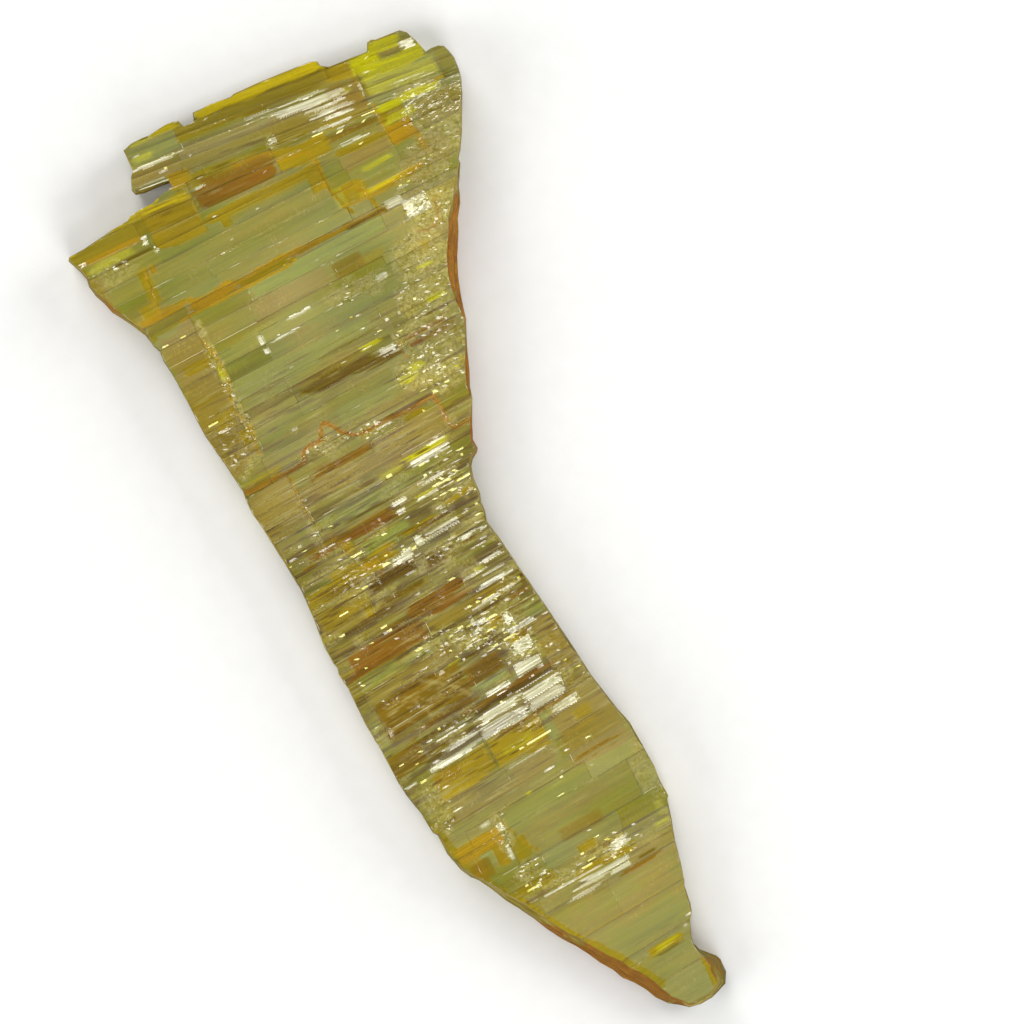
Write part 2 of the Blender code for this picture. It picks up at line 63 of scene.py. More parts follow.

# %% [markdown]
# ## Outline
# The slab is broken all round.  It could be cut from a block with Booleans, but a listed
# outline with a loft for the wall keeps every chip where it belongs.  Each point gives x, y
# and how far the upper rim stands back, all in mm.  At the end the middle of the footprint
# becomes the origin, as in the solid model.

# %% Broken outline, anticlockwise
OUTLINE = [
    (-40.6, -6.0, 0.08), (-40.04, -5.92, 0.08), (-39.7, -7.6, 0.12), (-39.4, -8.3, 0.12),
    (-39.4, -9.8, 0.12), (-39.2, -11.0, 0.12), (-38.95, -11.4, 0.15), (-38.85, -13.3, 0.22),
    (-38.4, -16.7, 0.3), (-38.3, -18.35, 0.25), (-37.9, -18.6, 0.25), (-36.4, -18.0, 0.35),
    (-35.4, -17.75, 0.4), (-34.7, -17.9, 0.4), (-33.6, -17.7, 0.45), (-32.5, -17.25, 0.45),
    (-31.3, -16.9, 0.5), (-30.3, -16.25, 0.5), (-27.8, -14.9, 0.4), (-26.4, -14.6, 0.25),
    (-25.7, -14.3, 0.2), (-24.7, -14.4, 0.2), (-23.0, -14.2, 0.2), (-19.7, -14.05, 0.2),
    (-16.3, -13.95, 0.2), (-14.6, -13.75, 0.2), (-12.6, -13.4, 0.2), (-9.5, -13.0, 0.2),
    (-8.6, -13.12, 0.2), (-7.0, -13.1, 0.2), (-5.6, -12.85, 0.2), (-0.8, -12.35, 0.2),
    (2.0, -12.07, 0.2), (5.0, -12.2, 0.2), (8.1, -12.5, 0.2), (10.0, -12.4, 0.2), (10.6, -12.25, 0.2),
    (11.2, -12.4, 0.2), (13.0, -12.15, 0.2), (16.5, -12.2, 0.2), (20.3, -11.9, 0.2),
    (23.7, -11.77, 0.2), (25.1, -11.6, 0.25), (27.4, -11.1, 0.25), (29.6, -10.9, 0.25),
    (30.1, -10.55, 0.25), (32.2, -10.5, 0.3), (34.2, -10.0, 0.4), (35.4, -9.4, 0.5), (36.1, -8.8, 0.55),
    (37.4, -8.05, 0.7), (39.0, -7.3, 0.9), (40.3, -6.5, 1.0), (42.0, -5.5, 1.05), (43.6, -4.75, 1.15),
    (45.0, -3.9, 1.15), (46.2, -3.0, 1.15), (47.6, -2.15, 1.25), (48.7, -1.6, 1.4), (50.0, -0.7, 1.55),
    (51.2, -0.15, 1.6), (52.0, 0.58, 1.55), (53.2, 1.35, 1.45), (54.4, 1.95, 1.3), (55.5, 2.85, 1.05),
    (56.1, 3.8, 0.8), (56.75, 4.6, 0.6), (56.97, 5.8, 0.55), (56.9, 7.1, 0.6), (56.5, 8.2, 0.8),
    (56.2, 9.0, 1.2), (55.2, 9.58, 1.6), (53.8, 9.6, 1.6), (53.3, 9.4, 1.4), (52.6, 8.75, 0.9),
    (51.9, 8.15, 0.4), (51.1, 7.87, 0.15), (50.4, 7.95, 0.12), (48.8, 8.6, 0.12), (48.2, 9.05, 0.12),
    (47.4, 9.3, 0.12), (45.5, 9.55, 0.12), (45.0, 9.8, 0.12), (43.2, 10.25, 0.12), (41.0, 10.7, 0.12),
    (39.0, 11.3, 0.12), (36.85, 11.85, 0.12), (36.65, 12.08, 0.12), (35.0, 11.97, 0.12),
    (33.4, 12.1, 0.12), (28.3, 11.8, 0.12), (26.6, 11.3, 0.12), (22.3, 10.4, 0.12), (19.9, 10.15, 0.12),
    (14.4, 9.4, 0.12), (9.0, 8.6, 0.12), (6.1, 8.2, 0.15), (3.9, 7.8, 0.2), (2.9, 8.1, 0.25),
    (2.0, 8.1, 0.25), (1.1, 8.4, 0.25), (-0.6, 8.5, 0.3), (-1.7, 8.8, 0.35), (-2.25, 9.25, 0.45),
    (-2.7, 9.95, 0.55), (-3.1, 10.2, 0.5), (-4.1, 10.15, 0.35), (-5.8, 10.9, 0.2), (-7.8, 11.9, 0.2),
    (-9.0, 12.2, 0.4), (-10.4, 12.85, 0.5), (-12.7, 13.67, 0.25), (-15.2, 14.8, 0.2),
    (-17.3, 15.3, 0.75), (-19.5, 16.0, 1.05), (-21.3, 16.8, 1.05), (-23.5, 18.0, 1.05),
    (-24.7, 18.5, 1.05), (-26.0, 19.4, 0.9), (-27.7, 20.1, 0.45), (-29.5, 21.12, 0.2),
    (-30.0, 21.15, 0.15), (-30.7, 21.7, 0.12), (-32.4, 22.7, 0.12), (-35.8, 24.4, 0.12),
    (-37.2, 24.95, 0.12), (-38.2, 25.15, 0.12), (-39.3, 25.25, 0.12), (-40.2, 25.05, 0.12),
    (-40.85, 24.8, 0.12), (-41.15, 24.3, 0.12), (-41.25, 23.5, 0.1), (-41.1, 22.9, 0.08),
    (-42.7, 22.5, 0.12), (-43.8, 22.05, 0.12), (-44.3, 21.5, 0.12), (-44.4, 20.3, 0.1),
    (-44.5, 18.9, 0.1), (-44.7, 18.5, 0.08), (-44.6, 18.0, 0.08), (-43.8, 17.6, 0.08),
    (-43.9, 15.5, 0.1), (-44.05, 13.5, 0.08), (-44.6, 12.75, 0.08), (-45.1, 12.7, 0.08),
    (-45.4, 12.0, 0.1), (-45.55, 10.0, 0.1), (-45.8, 6.5, 0.1), (-45.85, 3.7, 0.08),
    (-45.7, 3.25, 0.08), (-45.95, 1.2, 0.08), (-45.95, -0.85, 0.08), (-44.98, -1.15, 0.06),
    (-45.0, -2.2, 0.06), (-45.9, -2.5, 0.08), (-46.1, -3.6, 0.1), (-45.85, -6.0, 0.1),
    (-45.8, -7.8, 0.1), (-45.5, -8.75, 0.1), (-43.2, -8.8, 0.12), (-42.7, -9.25, 0.12),
    (-41.5, -9.75, 0.2), (-40.95, -9.6, 0.25), (-40.7, -8.7, 0.25),
]
CENTRE = (5.435, 3.325)    # middle of the footprint, which becomes the origin
print(len(OUTLINE), "outline points")

# %% [markdown]
# ## Striations and ledges
# The sheets broke off along one direction, so the face is a stair of long narrow ledges.
# A grid of squares would cut across them, so everything here is laid out along that one
# direction.  It fans slowly along the blade: (x, sideways run).  Each ledge starts at an x,
# has a level in mm, and is crossed by breaks that step it: (start, level, [(y, step)]).

# %% Striation direction and ledges
STRIATION = [
    (-46, 0.09), (-40, 0.08), (-37, 0.02), (-34, -0.02), (-20, -0.04), (-5, -0.06), (10, -0.08),
    (22, -0.1), (30, -0.09), (40, -0.06), (50, -0.11), (57, -0.1),
]
LEDGES = [
    (-47.0, 2.3, []),
    (-45.0, 4.3, [(-3.2, 0.25), (12.9, -0.7), (17.8, -0.35)]),
    (-44.0, 4.95, [(-3.2, -0.2), (5.8, 0.15), (15.6, -1.1)]),
    (-42.7, 5.45, [(-3.9, 0.15), (5.8, -0.1), (15.6, -1.3)]),
    (-41.6, 5.8, [(-4.2, 0.15), (4.6, 0.2), (15.4, -0.9), (23.4, -0.25)]),
    (-40.4, 6.1, [(-2.4, 0.1), (4.6, -0.2), (15.4, -0.7), (23.4, -0.2)]),
    (-39.4, 5.85, [(-10.0, -0.2), (-4.5, -0.35), (4.6, 0.45), (15.7, -0.35), (23.2, 0.2)]),
    (-37.9, 5.75, [(-11.0, -0.25), (-4.8, -0.15), (4.6, 0.25), (15.8, 0.15)]),
    (-36.4, 5.95, [(-10.2, 0.2), (-5.0, -0.1), (10.1, 0.25), (15.8, -0.25), (18.5, 0.3)]),
    (-35.2, 6.25, [(-10.0, 0.15), (8.0, -0.25), (10.3, 0.25), (15.8, -0.4), (18.6, 0.4)]),
    (-33.7, 6.45, [(-12.1, 0.2), (8.1, -0.25), (10.5, 0.15), (16.0, 0.15)]),
    (-31.9, 6.5, [(-12.3, 0.2), (-6.1, 0.12), (8.5, -0.3), (11.2, 0.2)]),
    (-30.2, 6.45, [(-12.4, 0.15), (-5.7, 0.15), (8.9, -0.25), (11.3, 0.2)]),
    (-28.8, 6.05, [(-8.8, 0.2), (11.8, 0.35)]),
    (-27.9, 6.5, [(-10.0, 0.35), (-3.6, 0.12), (11.6, -0.1), (14.0, 0.2)]),
    (-26.2, 6.4, [(-10.0, 0.35), (-4.2, 0.1), (5.2, 0.12), (13.2, -0.1)]),
    (-24.2, 6.32, [(-9.8, 0.35), (10.0, 0.12)]),
    (-23.2, 6.38, [(-9.8, 0.3), (-4.4, 0.18), (8.0, -0.15), (13.0, 0.12)]),
    (-21.9, 6.3, [(-9.6, 0.3), (-4.4, 0.2), (7.2, 0.12), (13.4, -0.1)]),
    (-20.1, 6.42, [(-9.4, 0.35), (7.2, 0.08)]),
    (-18.1, 6.3, [(-9.7, 0.35), (-4.2, -0.1), (7.8, 0.15), (11.8, 0.1)]),
    (-16.9, 6.1, [(-10.0, 0.3), (-4.1, -0.12), (7.2, 0.2)]),
    (-16.1, 5.95, [(-9.9, 0.25), (-4.0, -0.3), (7.4, 0.45)]),
    (-15.2, 6.25, [(-9.6, 0.3), (-4.0, 0.1), (8.1, 0.15)]),
    (-13.9, 6.38, [(-9.2, 0.3), (5.8, -0.25), (8.9, 0.3)]),
    (-12.0, 6.4, [(-9.8, 0.35), (-3.6, -0.3), (-2.0, 0.3), (6.0, 0.1)]),
    (-10.3, 6.15, [(-9.8, 0.2), (-5.8, -0.2), (-0.5, 0.15), (8.4, 0.3)]),
    (-9.4, 6.25, [(-8.2, 0.3), (1.0, 0.1), (8.5, 0.2)]),
    (-8.3, 6.15, [(-8.2, 0.35), (-6.2, -0.35), (0.7, 0.35), (8.5, 0.1)]),
    (-7.2, 6.3, [(-8.0, 0.35), (8.6, 0.1)]),
    (-5.6, 6.22, [(-8.0, 0.35), (3.0, 0.15), (7.9, -0.1)]),
    (-4.2, 6.25, [(-8.0, 0.3), (2.0, -0.12), (6.8, 0.15)]),
    (-2.5, 6.12, [(-8.2, 0.25), (0.0, 0.1), (4.4, -0.1)]),
    (-1.4, 5.95, [(-7.2, 0.15), (-3.5, -0.15), (0.6, 0.3), (4.8, 0.1)]),
    (-0.2, 6.08, [(-9.6, 0.2), (-6.4, 0.15), (4.8, 0.1)]),
    (1.0, 5.92, [(-8.6, 0.15), (-1.0, -0.1), (4.3, 0.2)]),
    (1.9, 6.0, [(-7.4, 0.2), (-3.6, -0.25), (0.4, 0.25), (6.0, 0.1)]),
    (3.3, 5.92, [(-6.4, 0.15), (-2.6, -0.2), (0.2, 0.25), (3.8, 0.1)]),
    (4.3, 5.8, [(-6.2, -0.25), (-0.6, 0.25), (2.0, 0.1), (6.2, 0.1)]),
    (5.9, 5.85, [(-6.4, -0.15), (0.2, 0.15), (4.2, 0.1)]),
    (7.4, 5.75, [(-9.0, 0.15), (-1.9, 0.08), (3.0, 0.15)]),
    (8.9, 5.6, [(-4.6, 0.12), (2.9, 0.25)]),
    (10.2, 5.62, [(-10.8, -0.1), (-2.2, 0.2), (3.2, 0.1)]),
    (11.9, 5.75, [(-11.0, 0.1), (-1.6, -0.1), (4.4, 0.15)]),
    (13.2, 5.7, [(-10.9, 0.12), (-3.2, -0.08), (1.2, 0.15), (5.2, 0.1)]),
    (14.9, 5.45, [(-10.6, -0.25), (-3.6, 0.12), (3.0, 0.3), (6.6, 0.1)]),
    (17.5, 5.4, [(-10.4, -0.2), (-0.4, 0.1), (3.3, 0.3), (6.8, 0.1)]),
    (19.6, 5.3, [(-8.6, -0.15), (-1.6, -0.1), (7.2, 0.4)]),
    (20.8, 5.78, [(-7.6, 0.15), (-2.1, 0.15), (3.4, 0.1), (7.6, -0.1)]),
    (21.7, 5.85, [(-8.0, 0.15), (-2.2, 0.18), (3.5, 0.12), (7.6, -0.1)]),
    (23.5, 5.8, [(-9.4, 0.15), (-2.0, 0.15), (3.9, -0.2), (4.8, 0.2)]),
    (26.6, 5.7, [(-8.8, 0.15), (-1.5, 0.08), (4.2, 0.12)]),
    (28.9, 5.6, [(-9.0, 0.12), (-3.0, 0.08), (5.0, 0.1)]),
    (30.2, 5.55, [(-7.8, -0.1), (-4.0, 0.3), (6.0, 0.08)]),
    (32.2, 5.5, [(-8.2, -0.15), (-4.3, 0.45), (9.8, -0.08)]),
    (36.0, 5.35, [(-6.8, 0.12), (-2.0, 0.1), (6.6, 0.08)]),
    (38.0, 5.22, [(-4.2, 0.08), (0.8, 0.1), (6.4, -0.15)]),
    (39.9, 5.25, [(-4.2, 0.1), (5.6, -0.2)]),
    (41.6, 5.12, [(2.8, 0.1)]),
    (45.5, 5.02, []),
    (49.5, 4.85, [(3.1, -0.1)]),
    (50.6, 4.85, []),
    (53.4, 4.72, []),
]
STARTS = np.array([start for start, _, _ in LEDGES])
LEAN_X, LEAN_V = np.array(STRIATION, float).T
print(len(LEDGES), "ledges")

# %% [markdown]
# ### Where a point lies on the stair
# The threads lean, and the lean changes, so x alone doesn't say which ledge a point is on.
# Each point gets a second coordinate, the place where the thread through it crosses the X
# axis.  A few rounds of guessing find it, which is simpler than solving for it.

# %% Striation coordinate
def lean_at(start):
    """Sideways run of the striation that crosses the axis at start."""
    return np.interp(start, LEAN_X, LEAN_V)


def striation(x, y):
    """Where the striation through each point crosses the X axis."""
    s = np.array(x, float)
    for _ in range(14):
        s = x - y * lean_at(s)
    return s


print("thread through (20, 8) crosses the axis at", round(float(striation(20.0, 8.0)), 2))

# %% [markdown]
# ### Soft steps and steady chance
# Nature isn't regular, but a script has to give the same stone each time.  So chance comes
# from numbers that are scrambled in a fixed way: scatter gives each thread or ledge a number
# of its own, and drift gives a smooth wander along it.  Both work on whole arrays at once.

# %% Soft steps and steady chance
def soft(low, high, value):
    """Smooth step from 0 at low to 1 at high."""
    t = np.clip((value - low) / (high - low), 0.0, 1.0)
    return t * t * (3.0 - 2.0 * t)


def scatter(n, seed=0):
    """A fixed random number from 0 to 1 for each whole number in n."""
    v = np.sin(np.asarray(n, float) * 12.9898 + seed * 78.233) * 43758.5453
    return v - np.floor(v)


def drift(x, y, seed=0):
    """Smooth value noise from -1 to 1, one bump per unit."""
    ix, iy = np.floor(x), np.floor(y)
    fx, fy = x - ix, y - iy
    fx, fy = fx * fx * (3 - 2 * fx), fy * fy * (3 - 2 * fy)

    def corner(a, b):
        return scatter((ix + a) * 157.0 + (iy + b) * 311.7, seed)

    low = corner(0, 0) * (1 - fx) + corner(1, 0) * fx
    high = corner(0, 1) * (1 - fx) + corner(1, 1) * fx
    return 2.0 * (low * (1 - fy) + high * fy) - 1.0


print("three steady numbers:", np.round(scatter(np.arange(3)), 3))

# %% [markdown]
# ## Height of the face
# A modelled ledge is flat.  The real one is made of threads of broken sheet 0.1 to 0.4 mm
# wide, each tipped a degree or two its own way, and that is what makes the face glitter in
# lines.  Height is a plain function of place, so the same face can be drawn at any fineness.

# %% Ledge planes
START_OF_FACE, END_OF_FACE = -46.0, 57.0    # mm along the blade


def ledge_plane(i, piece):
    """Level and slopes of one piece of a ledge, the same as in the solid model."""
    draw = random.Random(1000 * i + piece + 7)
    steps = [step for _, step in LEDGES[i][2]]
    home = sum(1 for cut, _ in LEDGES[i][2] if 0.0 > cut)
    level = LEDGES[i][1] + 0.35 * (sum(steps[home:piece]) - sum(steps[piece:home]))
    level += draw.uniform(-0.3, 0.3) * 0.10
    return level, draw.uniform(-1, 1) * 0.045, draw.uniform(-1, 1) * 0.006


def ledge_pieces(y, s):
    """Number of the ledge at each point, and of its piece between the cross breaks."""
    ledge = np.clip(np.searchsorted(STARTS, s, side="right") - 1, 0, len(LEDGES) - 1)
    piece = np.zeros(len(y), int)
    for i, (_, _, breaks) in enumerate(LEDGES):
        here = np.where(ledge == i)[0]
        for cut, _ in breaks:
            piece[here] += y[here] > cut
    return ledge, piece


def ledge_height(x, y, s):
    """Height of the flat ledges at each point."""
    ledge, piece = ledge_pieces(y, s)
    out = np.zeros(len(x))
    for i, (start, _, _) in enumerate(LEDGES):
        end = LEDGES[i + 1][0] if i + 1 < len(LEDGES) else END_OF_FACE
        middle = 0.5 * (max(start, START_OF_FACE) + end)
        here = np.where(ledge == i)[0]
        for p in np.unique(piece[here]):
            level, lean_x, lean_y = ledge_plane(i, int(p))
            w = here[piece[here] == p]
            out[w] = level + lean_x * (s[w] - middle) + lean_y * y[w]
    return out


print("level and slopes of a ledge piece:", [round(v, 3) for v in ledge_plane(20, 1)])

# %% [markdown]
# ### Threads
# A thread is the broken end of one sheet or a few.  Their edges are laid side by side with
# random gaps, one line on each side of every ledge step, so that the step itself is steep.
# Each line then rises and falls a few hundredths of a millimetre along its length.

# %% Threads of each ledge
THREAD = (0.09, 0.26)      # narrowest and widest thread, mm
BRINK = 0.015              # how close the last line lies to the step, mm
rows = []
draw = random.Random(3)
for i, (start, _, _) in enumerate(LEDGES):
    end = LEDGES[i + 1][0] if i + 1 < len(LEDGES) else END_OF_FACE + 0.6
    place = start + BRINK
    rows.append(place)
    place += draw.uniform(*THREAD)
    while place < end - 0.12:
        rows.append(place)
        place += draw.uniform(*THREAD)
    rows.append(end - BRINK)
ROWS = np.array([r for r in rows if r > START_OF_FACE - 0.6])
# how rough the threads are along the blade: (x, height of the threads in mm)
ROUGH_X, ROUGH_V = np.array([
    (-46, 0.008), (-42, 0.014), (-38, 0.010), (-34, 0.005), (-28, 0.005), (-22, 0.006),
    (-16, 0.010), (-12, 0.006), (-8, 0.010), (-4, 0.014), (4, 0.020), (12, 0.020), (20, 0.016),
    (25, 0.010), (30, 0.007), (36, 0.004), (40, 0.012), (43, 0.003), (57, 0.003),
]).T
print(len(ROWS), "thread lines")


def thread_height(s, y):
    """Small rise and fall from thread to thread."""
    k = np.clip(np.searchsorted(ROWS, s, side="right") - 1, 0, len(ROWS) - 2)
    t = np.clip((s - ROWS[k]) / (ROWS[k + 1] - ROWS[k]), 0, 1)
    total = np.zeros(len(s))
    for line, share in ((k, 1 - t), (k + 1, t)):
        slow = drift(line * 3.7, y / 5.0 + scatter(line, 1) * 9, 2)
        quick = drift(line * 1.9, y / 1.6 + scatter(line, 4) * 9, 5)
        total += share * (0.75 * slow + 0.35 * quick)
    return total * np.interp(s, ROUGH_X, ROUGH_V)


# %% [markdown]
# ## Crumpled margins
# Along the upper margin the sheets were bent and crushed when the block was split.  There the
# face is a mosaic of small flakes, each a flat facet with a tilt of its own.

# %% Crushed patches
# (x, y, half length along x, half width along y, strength)
CRUSHED = [
    (-35.0, 21.0, 3.4, 3.6, 0.6), (-31.0, 18.5, 2.6, 3.2, 0.65), (-27.0, 16.6, 2.4, 3.0, 0.75),
    (-23.0, 13.6, 3.0, 3.0, 0.65), (-18.5, 12.0, 2.6, 3.0, 0.6), (-14.5, 11.6, 2.2, 3.0, 0.75),
    (-11.5, 10.4, 1.9, 2.8, 0.85), (-12.6, 7.4, 1.4, 1.6, 0.8), (-22.6, 6.0, 1.3, 3.6, 0.35),
    (-16.2, 9.0, 1.0, 1.6, 0.6), (-9.9, -3.2, 0.9, 2.6, 0.8), (-9.5, 1.4, 0.7, 1.5, 0.9),
    (-2.0, 6.6, 2.4, 1.6, 0.5), (4.6, 2.8, 1.0, 2.6, 0.8), (-20.5, -9.6, 7.0, 0.5, 0.7),
    (-14.0, -11.2, 2.4, 1.6, 0.6), (-34.8, -15.0, 1.4, 2.6, 0.4), (-3.5, -8.2, 4.5, 0.5, 0.6),
    (13.6, 2.6, 1.6, 3.6, 0.8), (12.6, -1.6, 1.2, 3.0, 0.7), (16.4, 5.6, 1.8, 1.6, 0.8),
    (38.6, 4.4, 1.0, 2.6, 0.6), (39.2, -1.6, 0.8, 3.0, 0.5), (37.0, -4.0, 1.2, 1.2, 0.5),
    (27.2, -9.2, 3.2, 1.2, 0.5), (21.6, -4.6, 1.2, 2.4, 0.5), (-12.5, -12.0, 2.0, 0.9, 0.5),
    (32.6, -4.6, 2.2, 0.7, 0.6), (-39.6, 5.0, 0.7, 0.6, 0.6), (10.6, 7.0, 0.9, 1.4, 0.6),
    (3.4, -6.8, 2.6, 2.0, 0.5), (33.5, 11.0, 4.0, 0.9, 0.35), (19.6, 8.2, 3.0, 0.8, 0.5),
]


def patched(patches, x, y):
    """How strongly round patches with ragged edges cover each point, 0 to 1."""
    total = np.zeros(len(x))
    ragged = 0.35 * drift(x / 0.7, y / 0.7, 11) + 0.25 * drift(x / 2.0, y / 2.0, 12)
    for cx, cy, half_x, half_y, strength in patches:
        far = np.hypot((x - cx) / half_x, (y - cy) / half_y) + ragged
        total = np.maximum(total, strength * soft(1.15, 0.75, far))
    return total


print(len(CRUSHED), "crushed patches")


# %% Flakes
def flake_height(x, y, size, seed):
    """Flat tilted flakes about size mm across."""
    gx, gy = np.floor(x / size), np.floor(y / size)
    best = np.full(len(x), 1e9)
    out = np.zeros(len(x))
    for a in (-1, 0, 1):
        for b in (-1, 0, 1):
            cell = (gx + a) * 71.0 + (gy + b) * 233.0
            px = (gx + a + 0.5 + 0.8 * (scatter(cell, seed) - 0.5)) * size
            py = (gy + b + 0.5 + 0.8 * (scatter(cell, seed + 1) - 0.5)) * size
            far = (x - px) ** 2 + (y - py) ** 2
            tip_x = 0.55 * (scatter(cell, seed + 2) - 0.5)
            tip_y = 0.45 * (scatter(cell, seed + 3) - 0.5)
            height = tip_x * (x - px) + tip_y * (y - py) + 0.06 * (scatter(cell, seed + 4) - 0.5)
            near = far < best
            best = np.where(near, far, best)
            out = np.where(near, height, out)
    return out


def face_height(x, y):
    """Height of the finished upper face at each point, in mm."""
    s = striation(x, y)
    z = ledge_height(x, y, s) + thread_height(s, y)
    crush = patched(CRUSHED, x, y)
    z += crush * (0.8 * flake_height(x, y, 1.1, 21) + 0.6 * flake_height(x, y, 0.55, 31))
    z += 0.006 * drift(x / 2.5, y / 6.0, 40)
    return z


print("height near the middle, mm:", np.round(face_height(np.array([5.0]), np.array([0.0])), 2))

# %% [markdown]
# ## Build the blade
# The blade is built as one closed mesh, from the floor up: a resting face, a side wall and
# the stepped upper face.  First the outline is divided into half-millimetre steps, and each
# of its points learns which way is out, because the wall moves in and out along that way.

# %% Fine outline
def fine_outline(step=0.5):
    """The outline in short steps: x, y, wall width, outward x and y."""
    points = []
    for here, after in zip(OUTLINE, OUTLINE[1:] + OUTLINE[:1]):
        run = np.hypot(after[0] - here[0], after[1] - here[1])
        count = max(1, int(round(run / step)))
        for k in range(count):
            t = k / count
            points.append([here[j] + (after[j] - here[j]) * t for j in range(3)])
    points = np.array(points)
    before, after = np.roll(points, 1, 0), np.roll(points, -1, 0)
    run = after[:, :2] - before[:, :2]
    run /= np.linalg.norm(run, axis=1)[:, None]
    out = np.stack([run[:, 1], -run[:, 0]], 1)
    return points, out


POINTS, OUT = fine_outline()
print(len(POINTS), "points round the blade")


# %% [markdown]
# ### Side wall
# The sides show the ends of the sheets, like the edge of a torn pack of paper.  Rings of
# points are stacked from the floor up, and each packet of sheets broke off a little further
# in than its neighbour.  A smooth wall with a bump texture would look painted.

# %% Shape of the side wall
# where the head end stands off the floor, in mm: (from x, to x, from y, to y, how far)
RECESSES = ((-50, -42.6, -30, 30, 1.10), (-42.6, -40.3, -30, -3.0, 0.90))
# from the resting face up: share of height, of undercut and of the sloping wall
WALL = [
    (0.0, 1.0, 0.0), (0.04, 0.75, 0.0), (0.12, 0.55, 0.0), (0.2, 0.42, 0.0), (0.27, 0.35, 0.02),
    (0.31, 0.12, 0.02), (0.4, 0.08, 0.05), (0.47, 0.03, 0.07), (0.52, 0.0, 0.08), (0.56, 0.0, 0.2),
    (0.63, 0.0, 0.3), (0.7, 0.0, 0.38), (0.78, 0.0, 0.5), (0.84, 0.0, 0.68), (0.89, 0.0, 0.84),
    (0.93, 0.0, 1.0),
]
PACKET = (0.022, 0.065)    # thinnest and thickest packet, as a share of the height


def under_lift(x, y):
    """How far the resting face is recessed at each point."""
    s = striation(x, y)
    lift = np.zeros(len(x))
    for x0, x1, y0, y1, rise in RECESSES:
        lift[(s >= x0) & (s <= x1) & (y >= y0) & (y <= y1)] = rise
    return lift


def packet_levels():
    """Where one packet of sheets ends and the next begins: (share of height, packet number)."""
    draw = random.Random(8)
    levels, rise, number = [(0.0, 0), (0.025, 0)], 0.025, 1
    while rise < 0.89:
        top = min(WALL[-1][0], rise + draw.uniform(*PACKET))
        levels += [(rise + 0.004, number), (top, number)]
        rise, number = top, number + 1
    return levels


print(len(packet_levels()) // 2, "packets of sheets up the wall")


# %% Rings of the side wall
# how far the packets stand in: (most, mm; length of a stretch, mm)
LONG_CHIP, SHORT_CHIP, NICK = (0.20, 5.0), (0.10, 1.3), (0.02, 0.5)


def wall_rings():
    """Positions of every ring of the side wall, in mm."""
    x, y, width = POINTS.T
    # sharp rims and long slopes are hardly undercut, and what lies between them is
    undercut = np.where(width <= 0.125, 0.135, 0.45)
    undercut = np.where(width > 0.6, 0.12, undercut)
    top = face_height(x - 0.3 * OUT[:, 0], y - 0.3 * OUT[:, 1])
    low = under_lift(x, y)
    run = np.cumsum(np.hypot(*(POINTS[:, :2] - np.roll(POINTS[:, :2], 1, 0)).T))
    share, unders, slopes = np.array(WALL).T
    rings = []
    for rise, packet in packet_levels():
        under, slope = np.interp(rise, share, unders), np.interp(rise, share, slopes)
        here = np.full(len(x), packet * 3.3)
        chip = LONG_CHIP[0] * np.clip(drift(run / LONG_CHIP[1] + 9 * scatter(packet), here, 50), 0, 1)
        chip += (SHORT_CHIP[0] * np.clip(drift(run / SHORT_CHIP[1], here, 51), 0, 1)
                 + NICK[0] * np.abs(drift(run / NICK[1], here, 52)))
        inset = under * undercut + slope * width + chip * (1.0 if packet else 0.3)
        z = low + rise * (top - low)
        rings.append(np.stack([x - OUT[:, 0] * inset, y - OUT[:, 1] * inset, z], 1))
    return rings


print("height of the rim, mm:", np.round([r[:, 2].max() for r in wall_rings()[-1:]], 2))

# %% [markdown]
# ### Cutting the upper face
# A grid of squares lifted to the height would show saw teeth at every slanting step.  The
# upper face is one polygon instead, and Blender's bisect tool cuts it along every thread,
# then across, and twice at each break.  So every edge of the mesh is an edge of the crystal.

# %% Cut the face
ACROSS = (-18.2, 25.4)     # the cuts across the threads run from here to there along y, mm
BREAK = 0.015              # half the distance between the two cuts at a break, mm


def cut_faces(bm, faces, x, y, normal):
    """Cut faces by an upright plane and return all the pieces."""
    edges = list({e for f in faces for e in f.edges})
    verts = list({v for f in faces for v in f.verts})
    done = bmesh.ops.bisect_plane(bm, geom=faces + edges + verts, dist=1e-9,
                                  plane_co=Vector((x, y, 0)) * MM, plane_no=normal)
    return [g for g in done["geom"] if isinstance(g, bmesh.types.BMFace)]


def cut_threads(bm, cap, mark):
    """Cut the upper polygon along every thread and mark each strip with its ledge."""
    remain = [cap]
    strips = []
    for start in ROWS:
        lean = float(lean_at(start))
        parts = cut_faces(bm, remain, start, 0, Vector((1, -lean, 0)).normalized())
        remain = []
        index = int(np.searchsorted(STARTS, start - 0.001, side="right") - 1)
        for face in parts:
            c = face.calc_center_bounds() / MM
            if c.x - c.y * lean > start:
                remain.append(face)
            else:
                face[mark] = index
                strips.append(face)
    for face in remain:
        face[mark] = len(LEDGES) - 1
    return strips + remain


def cut_across(bm, strips, spacing):
    """Cut all strips across, from the lowest y to the highest."""
    remain, done = strips, []
    jitter = random.Random(400)
    line = ACROSS[0]
    while remain and line < ACROSS[1]:
        parts = cut_faces(bm, remain, 0, line, Vector((0, 1, 0)))
        done += [f for f in parts if f.calc_center_bounds().y < line * MM]
        remain = [f for f in parts if f.calc_center_bounds().y >= line * MM]
        line += spacing * jitter.uniform(0.8, 1.2)
    return done + remain


